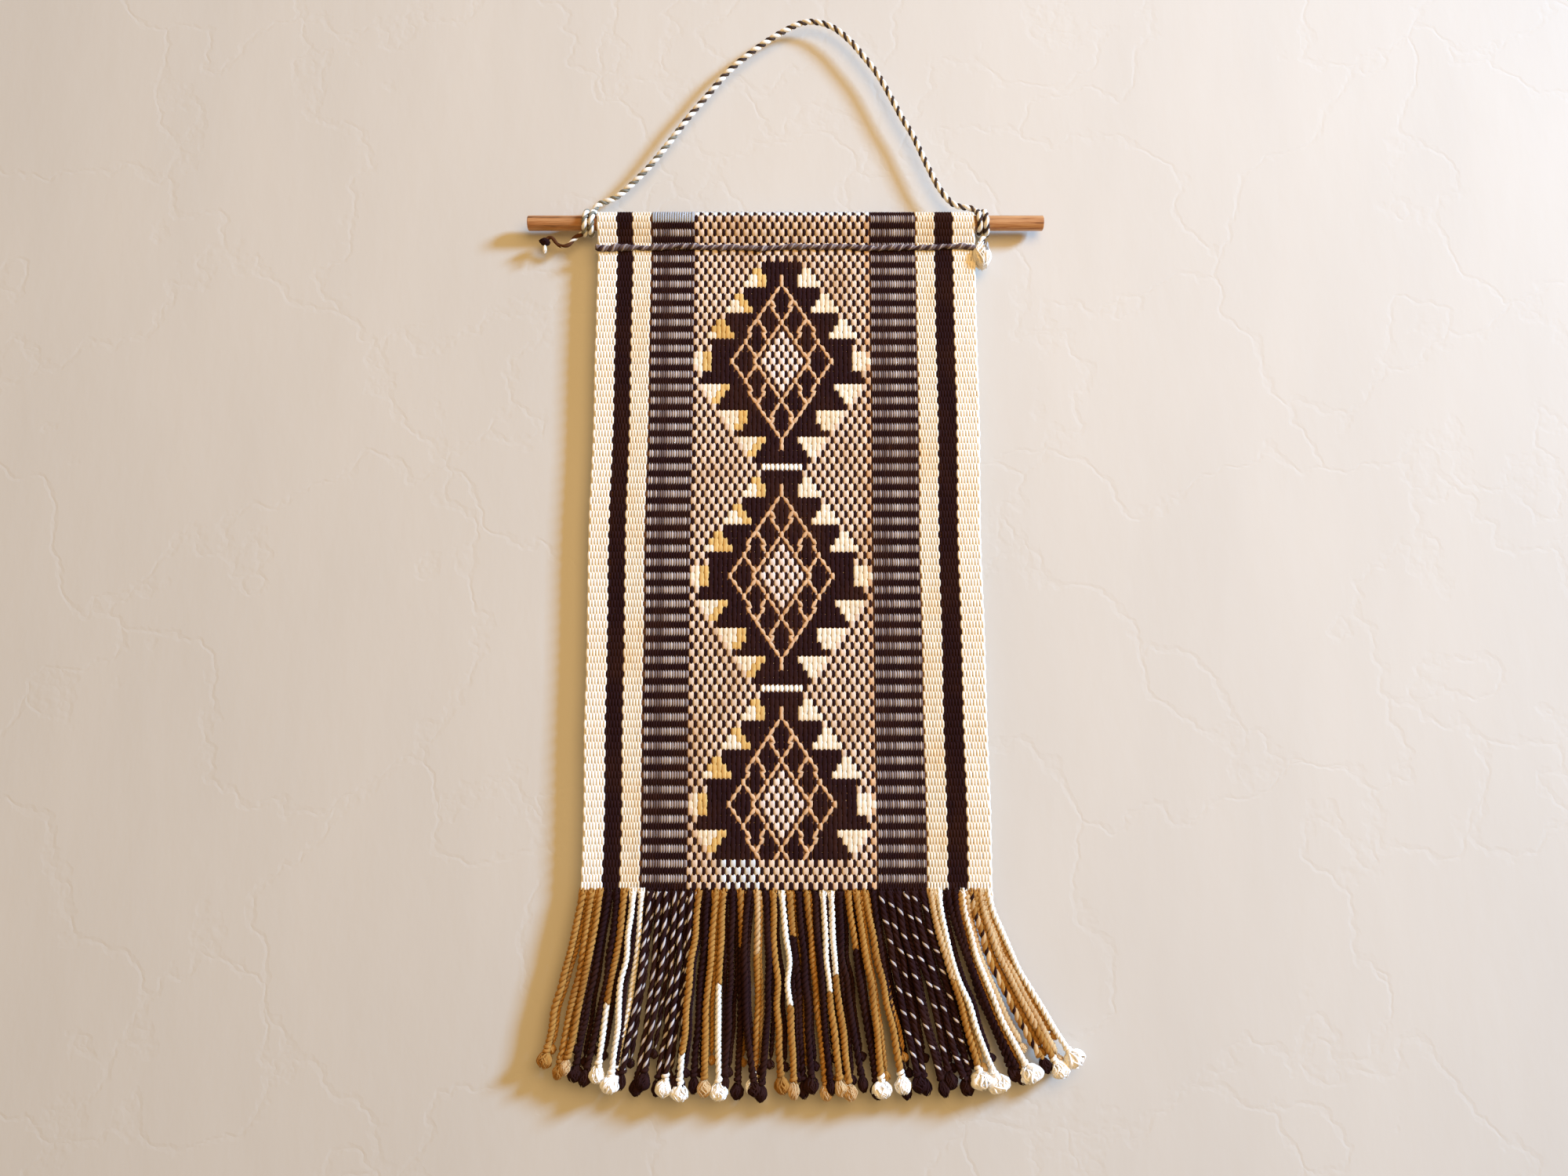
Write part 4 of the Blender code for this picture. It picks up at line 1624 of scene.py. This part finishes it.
class Spun(Enum):
    """How a fringe cord is spun: its yarn above, its yarn below and the yarn of its tuft. Where only the
    colour differs, as tan and white, the cord is just painted one colour above and the other below.
    """
    TAN = (Yarn.TAN, Yarn.TAN, Yarn.TAN)
    TAN_PALE_TIP = (Yarn.TAN, Yarn.TAN, Yarn.PALE)
    TAN_WHITE_TIP = (Yarn.TAN, Yarn.TAN, Yarn.WHITE)
    TAN_TO_WHITE = (Yarn.TAN, Yarn.WHITE, Yarn.WHITE)
    TAN_TO_DARK = (Yarn.TAN, Yarn.DARK, Yarn.DARK)
    PALE = (Yarn.PALE, Yarn.TAN, Yarn.WHITE)
    WHITE = (Yarn.WHITE, Yarn.WHITE, Yarn.WHITE)
    WHITE_TO_TAN = (Yarn.WHITE, Yarn.TAN, Yarn.PALE)
    DARK = (Yarn.DARK, Yarn.DARK, Yarn.DARK)
    FLECKED = (Yarn.FLECKED, Yarn.FLECKED, Yarn.DARK)
    FLECKED_WHITE_TIP = (Yarn.FLECKED, Yarn.FLECKED, Yarn.WHITE)
    SPARSE = (Yarn.SPARSE, Yarn.SPARSE, Yarn.DARK)
    TAN_FLECKED = (Yarn.TAN_FLECKED, Yarn.TAN_FLECKED, Yarn.DARK)


@dataclass(frozen=True)
class FringeCord:
    """One cord of the fringe.

    Attributes:
        spun: its yarns.
        aim: how far right of its plain course its tip hangs, in millimetres.
        bow: how far right of a straight line it bows, in millimetres.
        front: how far forward of the others it lies, in millimetres.
        turn: where along it the colour above gives way to the colour below, from 0 to 1.
    """
    spun: Spun
    aim: float = 0.0
    bow: float = 0.0
    front: float = 0.0
    turn: float = 0.6


FRINGE_CORDS = (
    FringeCord(Spun.TAN, -1.5, -1.8, 0.2), FringeCord(Spun.TAN, 0.2, -1.0, -0.3),
    FringeCord(Spun.TAN_PALE_TIP, -0.5, -0.5, -0.9), FringeCord(Spun.DARK, -1.0, -1.2, 0.4),
    FringeCord(Spun.DARK, -0.5, 0.4, -0.2), FringeCord(Spun.TAN_TO_WHITE, 0.2, -1.0, -0.6, 0.66),
    FringeCord(Spun.WHITE, 1.6, -0.6, -1.3), FringeCord(Spun.WHITE, -0.6, 0.8, 0.5),
    FringeCord(Spun.FLECKED, -1.6, 0.4, -0.4), FringeCord(Spun.FLECKED, 0.4, 0.8, 0.4),
    FringeCord(Spun.FLECKED, -0.8, 0.8, -0.5), FringeCord(Spun.FLECKED, 0.6, 1.0, 0.3),
    FringeCord(Spun.FLECKED_WHITE_TIP, -0.4, 0.5, -0.6), FringeCord(Spun.FLECKED, 0.8, 0.2, 0.2),
    FringeCord(Spun.TAN_TO_WHITE, -2.4, -0.6, -1.1, 0.86), FringeCord(Spun.DARK, -1.0, -0.2, 0.3),
    FringeCord(Spun.TAN_PALE_TIP, -0.9, -0.9, -0.5), FringeCord(Spun.TAN_TO_WHITE, 0.6, -1.2, -0.7, 0.5),
    FringeCord(Spun.DARK, -1.0, 0.6, 0.0), FringeCord(Spun.TAN_TO_DARK, 0.0, 0.8, 0.6, 0.3),
    FringeCord(Spun.DARK, 2.0, -2.6, -1.2), FringeCord(Spun.PALE, -1.6, 1.0, -0.2, 0.35),
    FringeCord(Spun.DARK, -2.6, 1.5, -1.3), FringeCord(Spun.TAN, 0.6, -0.6, -0.8),
    FringeCord(Spun.WHITE_TO_TAN, 1.4, 0.6, -1.2, 0.62), FringeCord(Spun.TAN_TO_DARK, 1.0, 0.4, 0.3, 0.25),
    FringeCord(Spun.DARK, 0.0, 0.2, -0.5), FringeCord(Spun.TAN_PALE_TIP, 1.4, 0.1, 0.2),
    FringeCord(Spun.DARK, -1.0, 0.0, -0.7), FringeCord(Spun.WHITE_TO_TAN, -1.4, -0.8, -1.0, 0.55),
    FringeCord(Spun.WHITE_TO_TAN, -2.0, -0.8, -0.6, 0.45), FringeCord(Spun.DARK, -1.4, -1.4, 0.3),
    FringeCord(Spun.TAN_TO_DARK, 0.0, 0.4, -0.3, 0.32), FringeCord(Spun.TAN_WHITE_TIP, -2.2, 1.4, -1.1),
    FringeCord(Spun.TAN_WHITE_TIP, 1.2, 0.8, -0.9), FringeCord(Spun.DARK, -1.6, 0.4, 0.5),
    FringeCord(Spun.SPARSE, -1.0, 0.4, -0.6), FringeCord(Spun.SPARSE, -2.6, 1.2, 0.3),
    FringeCord(Spun.SPARSE, -0.6, 0.2, -0.7), FringeCord(Spun.SPARSE, -1.8, 1.6, 0.4),
    FringeCord(Spun.SPARSE, -0.4, 0.4, -0.2), FringeCord(Spun.SPARSE, -2.8, 1.8, 0.6),
    FringeCord(Spun.PALE, -3.2, 1.2, -0.7, 0.5), FringeCord(Spun.WHITE, -1.6, -0.4, -1.1),
    FringeCord(Spun.DARK, -0.2, 1.2, 0.2), FringeCord(Spun.DARK, -2.0, -0.8, -0.4),
    FringeCord(Spun.WHITE, -3.0, -0.6, -1.0), FringeCord(Spun.TAN_FLECKED, -1.6, -0.2, -0.1),
    FringeCord(Spun.PALE, -0.6, 0.6, -0.5, 0.8), FringeCord(Spun.WHITE, 0.4, 1.2, 0.1),
)


@dataclass
class Fringe:
    """All the cords below the cloth, made group by group from the left.

    Attributes:
        groups: each group and how many cords it has, from the left.
        longest: the length of the longest cord.
        edge_shorter: how much shorter the outermost cords are.
        blend_length: how far below the cloth's edge the cords would bend when they swing; not used.
        pitch: the length of one turn of a plain cord.
        fleck_pitch: the same for a flecked one.
        spacing: how far apart the points of a cord's line are.
        tuft_length: how long a tuft is.
        finishes: the finishes, in the order of their numbers.
        sparse_numbers: the cords that are spun the other way.
        edge_number: the first of the cords at the right edge, whose strands behind are thicker.
        course_seed: what the wobble of the cords starts from.
        tuft_seed: what the tufts start from.
        behind_seed: what the tufts of the strands behind start from.
        tones: the main finish of each yarn.
        slots: the material slot of each yarn; not used.
    """
    groups: tuple[tuple[str, int], ...] = (("left_border", 8), ("left_ladder", 6), ("centre", 22),
                                           ("right_ladder", 6), ("right_border", 8))
    longest: float = 77 * MM
    edge_shorter: float = 10 * MM
    blend_length: float = 6 * MM
    pitch: float = 4.4 * MM
    fleck_pitch: float = 12.5 * MM
    spacing: float = 0.42 * MM
    tuft_length: float = 8.0 * MM
    finishes: tuple[Wool, ...] = (TAN, SHADE_TAN, WHITE, DARK, PAINTED_LIT_WHITE, PALE_GREY)
    sparse_numbers: range = range(37, 43)
    edge_number: int = 46
    course_seed: int = 300
    tuft_seed: int = 500
    behind_seed: int = 800
    tones: dict[Yarn, FringeYarn] = field(default_factory=lambda: {
        Yarn.TAN: FringeYarn.TAN, Yarn.PALE: FringeYarn.PALE_TAN, Yarn.WHITE: FringeYarn.WHITE,
        Yarn.DARK: FringeYarn.DARK, Yarn.FLECKED: FringeYarn.DARK, Yarn.SPARSE: FringeYarn.DARK,
        Yarn.TAN_FLECKED: FringeYarn.TAN})
    slots: dict[Yarn, str] = field(default_factory=lambda: {
        Yarn.TAN: "tan_wool", Yarn.PALE: "tan_wool", Yarn.WHITE: "white_wool", Yarn.DARK: "dark_wool",
        Yarn.FLECKED: "flecked_wool", Yarn.SPARSE: "flecked_wool", Yarn.TAN_FLECKED: "tan_wool"})

    def plies(self, yarn: Yarn, turn: float) -> tuple[list[Ply], float]:
        """The strands of one yarn and the length of their twist.

        Args:
            yarn: the yarn.
            turn: where round the cord the first strand starts.

        Returns:
            The plies and the pitch.
        """
        if yarn is Yarn.FLECKED:
            dark = [Ply(FringeYarn.DARK, 0.84 * MM, 0.54 * MM, turn + math.pi * i) for i in range(2)]
            return dark + [Ply(FringeYarn.GREY, 0.52 * MM, 0.92 * MM, turn + math.pi * (i + 0.5), 0.75)
                           for i in range(2)], self.fleck_pitch
        if yarn is Yarn.SPARSE:
            dark = [Ply(FringeYarn.DARK, 0.8 * MM, 0.6 * MM, turn + math.tau / 3 * i) for i in range(3)]
            return [*dark, Ply(FringeYarn.GREY, 0.56 * MM, 0.96 * MM, turn + 1, 0.6)], self.fleck_pitch * 0.68
        if yarn is Yarn.TAN_FLECKED:
            return [Ply(FringeYarn.TAN, 0.88 * MM, 0.66 * MM, turn),
                    Ply(FringeYarn.PALE_TAN, 0.88 * MM, 0.66 * MM, turn + 2.3),
                    Ply(FringeYarn.DARK, 0.62 * MM, 0.94 * MM, turn + 4.3, 0.6)], self.fleck_pitch * 0.6
        thin = 0.88 if yarn is Yarn.WHITE else 1.0
        return [Ply(self.tones[yarn], 0.82 * thin * MM, 0.72 * thin * MM, turn + math.pi * i)
                for i in range(2)], self.pitch

    def course(self, number: int, cord: FringeCord) -> np.ndarray:
        """The centre line of one cord, from the cloth's edge to its knot.

        Args:
            number: its place from the left, from 1.
            cord: the cord.

        Returns:
            The line's points.
        """
        total = len(FRINGE_CORDS)
        across = (2 * number - 1) / total - 1
        pitch = (CLOTH_HIGH.x - CLOTH_LOW.x) / total
        root = CLOTH_LOW.x + (number - 0.5) * pitch
        lean = (3.5 + 20 * across + 5.5 * across ** 2 + cord.aim) * MM
        length = self.longest - self.edge_shorter * across ** 4 - (1 + math.sin(2.4 * number)) * 1.5 * MM
        length -= self.tuft_length
        top = CLOTH_LOW.z - 0.6 * MM
        rng = np.random.default_rng(self.course_seed + number)
        route = []
        for share in np.linspace(0, 1, 9).tolist():
            ease = share ** (1.0 + 0.5 * abs(across))
            wobble = rng.normal(0, 0.3) * MM * math.sin(math.pi * share)
            x = root + lean * ease + (cord.bow * math.sin(math.pi * share)) * MM + wobble
            hang = -0.65 + (cord.front * 1.15 - 0.2) * math.sin(math.pi * min(1, share * 1.25) / 2)
            route.append((x, hang * MM + 0.25 * MM * rng.normal(0, 1) * math.sin(math.pi * share),
                          top - (length + 1.1 * MM) * share))
        return smooth_line(route, self.spacing)

    def gather(self, mesh: YarnMesh, line: np.ndarray, tone: int) -> None:
        """Add the ends of the warps that run from the cloth's edge into a cord.

        Args:
            mesh: the mesh that takes them.
            line: the cord's centre line.
            tone: their finish.
        """
        into = line[int(5.5 * MM / self.spacing)]
        for place in (-1, 0, 1):
            start = line[0] + np.array([place * 1.02 * MM, (0.25 if place else -0.35) * MM, 1.4 * MM])
            bend = (start + into) / 2 + np.array([place * 0.55 * MM, -0.25 * MM, 0.3 * MM])
            run = smooth_line([tuple(start), tuple(bend), tuple(into)], 0.8 * MM)
            thick = np.linspace(0.52, 0.34, len(run)) * MM
            mesh.sweep(run, np.tile([1.0, 0, 0], (len(run), 1)), thick, thick, 6, tone)

    def shade_gap_strand(self, mesh: YarnMesh, line: np.ndarray, number: int, tone: int, flecked: bool,
                     hand: Hand) -> None:
        """Add the thin strand that hangs behind a cord and fills the gap to its neighbour. Where it is dark,
        its colour paints the shadow in the gap.

        Args:
            mesh: the mesh that takes it.
            line: the cord's centre line.
            number: the cord's place from the left.
            tone: the cord's finish.
            flecked: whether it has a white ply.
            hand: the direction of its twist.
        """
        behind = line[:int(len(line) * (0.93 + 0.05 * math.sin(number * 2.1)))]
        share = np.linspace(0, 1, len(behind))[:, None]
        away = 1 if number < len(FRINGE_CORDS) else -1
        across = (1.55 + 0.5 * share + 0.5 * np.sin(share * 4 + number)) * MM * away
        behind = behind + np.concatenate([across, 1.25 * MM * np.minimum(1, share * 6), 0 * share], axis=1)
        pale = (FringeYarn.TAN, FringeYarn.PALE_TAN)
        # Painted shade: behind all but most tan cords the strand is dark, so that the gap reads as shadow.
        colour = FringeYarn.DARK if tone not in pale or number % 3 == 0 else tone
        fat = 1.0
        if number >= self.edge_number:
            colour, fat = pale[number % 2], 1.65
        sides = steady_sides(behind, (1, 0, 0))
        plies = [Ply(colour, 0.62 * fat * MM, 0.5 * fat * MM, number * 1.3 + turn) for turn in (0, math.pi)]
        if flecked:
            plies.append(Ply(FringeYarn.GREY, 0.44 * MM, 0.72 * MM, number * 1.3 + 1.6, 0.75))
        pitch = self.fleck_pitch * 0.7 if flecked else self.pitch * 0.85
        taper = np.interp(share[:, 0], [0, 0.04, 0.97, 1], [0.6, 1, 1, 0.4])
        twist(mesh, behind, sides, lengths(behind), plies, pitch, hand, taper, 5)
        tuft, heading = Tuft(1.6 * MM, 4.5 * MM, 12), unit(behind[-1] - behind[-6])
        tuft.add(mesh, tuple(behind[-1]), tuple(heading), colour, self.behind_seed + number)

    def knot(self, mesh: YarnMesh, end: np.ndarray, heading: np.ndarray, tone: int, turn: float) -> None:
        """Add the small overhand knot that stops a cord from unplying.

        Args:
            mesh: the mesh that takes it.
            end: the end of the cord.
            heading: the way the cord points there.
            tone: its finish.
            turn: where round the cord it starts.
        """
        side = unit(np.array([1.0, 0, 0]) - heading * heading[0])
        front = np.cross(heading, side)
        count, radius = 24, 0.95 * MM
        angle = turn + np.linspace(0, math.tau * 1.4, count)
        climb = np.linspace(-1.2, 1.0, count) * MM
        ring = end + heading * climb[:, None]
        ring = ring + (side * np.cos(angle)[:, None] + front * np.sin(angle)[:, None]) * radius
        width, depth = np.full(count, 0.78 * MM), np.full(count, 0.7 * MM)
        mesh.sweep(ring, np.tile(heading, (count, 1)), width, depth, 7, tone)

    def cord(self, number: int, cord: FringeCord, group: str) -> bpy.types.Object:
        """Ply one cord.

        Args:
            number: its place from the left, from 1.
            cord: the cord.
            group: the group that it belongs to; not used.

        Returns:
            The piece.
        """
        upper, lower, tip = cord.spun.value
        mesh = YarnMesh(f"plied_cord_{number:02d}", list(self.finishes))
        line = self.course(number, cord)
        along = lengths(line)
        sides = steady_sides(line, (1, 0, 0))
        hand = Hand.S if number in self.sparse_numbers else Hand.Z
        change = int(len(line) * cord.turn) if upper != lower else len(line)
        for yarn, cut in ((upper, slice(0, change)), (lower, slice(max(0, change - 1), len(line)))):
            if len(line[cut]) < 3:
                continue
            plies, pitch = self.plies(yarn, number * 2.4 + 1.5 * math.sin(number * 7))
            swell = 1 + 0.05 * np.sin(along[cut] / (6 * MM) + number)
            uneven = 0.9 * MM * np.sin(along[cut] / (5.5 * MM) + number * 2.3)
            twist(mesh, line[cut], sides[cut], along[cut] + uneven, plies, pitch, hand, swell, 6)
        self.shade_gap_strand(mesh, line, number, self.tones[upper], upper is Yarn.FLECKED, hand)
        self.gather(mesh, line, self.tones[upper])
        heading = unit(line[-1] - line[-6])
        self.knot(mesh, line[-1], heading, self.tones[tip if tip is Yarn.WHITE else lower], number * 0.9)
        fat, fibre = 2.3 + 0.45 * math.sin(number * 1.9), self.tones[tip]
        if tip is Yarn.WHITE:
            # A white cord's tuft takes the brighter painted-highlight white.
            fibre = FringeYarn.PAINTED_LIT_WHITE
            fat += 0.9 if number < self.sparse_numbers.stop else 1.6
        knot_height = 0.4 * MM
        tuft = Tuft(fat * MM, self.tuft_length - knot_height, 52)
        top = tuple(line[-1] + heading * knot_height)
        tuft.add(mesh, top, tuple(heading), fibre, self.tuft_seed + number)
        made = mesh.build()
        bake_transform(made)
        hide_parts(f"fringe_cord_{number:02d}")
        return made

    def build(self) -> list[bpy.types.Object]:
        """Make every cord.

        Returns:
            The pieces from left to right.
        """
        made = []
        for group, count in self.groups:
            for _ in range(count):
                number = len(made) + 1
                made.append(self.cord(number, FRINGE_CORDS[number - 1], group))
        return made


def main() -> None:
    """Build the studio and every part of the hanging, in order."""
    logging.basicConfig(level=logging.INFO, format="%(name)s: %(message)s")
    Studio().build()
    HangingCord().build()
    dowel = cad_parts["dowel"]
    dowel.data.materials.clear()
    dowel.data.materials.append(OiledWood().material())
    cloth = WovenCloth()
    ground, warps = cloth.build()
    stitch = HemStitch().build()
    cords = Fringe().build()
    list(warps)
    LOG.info("cloth %.1f x %.1f mm", cloth.width / MM, cloth.run.length / MM)


if __name__ == "__main__":
    main()
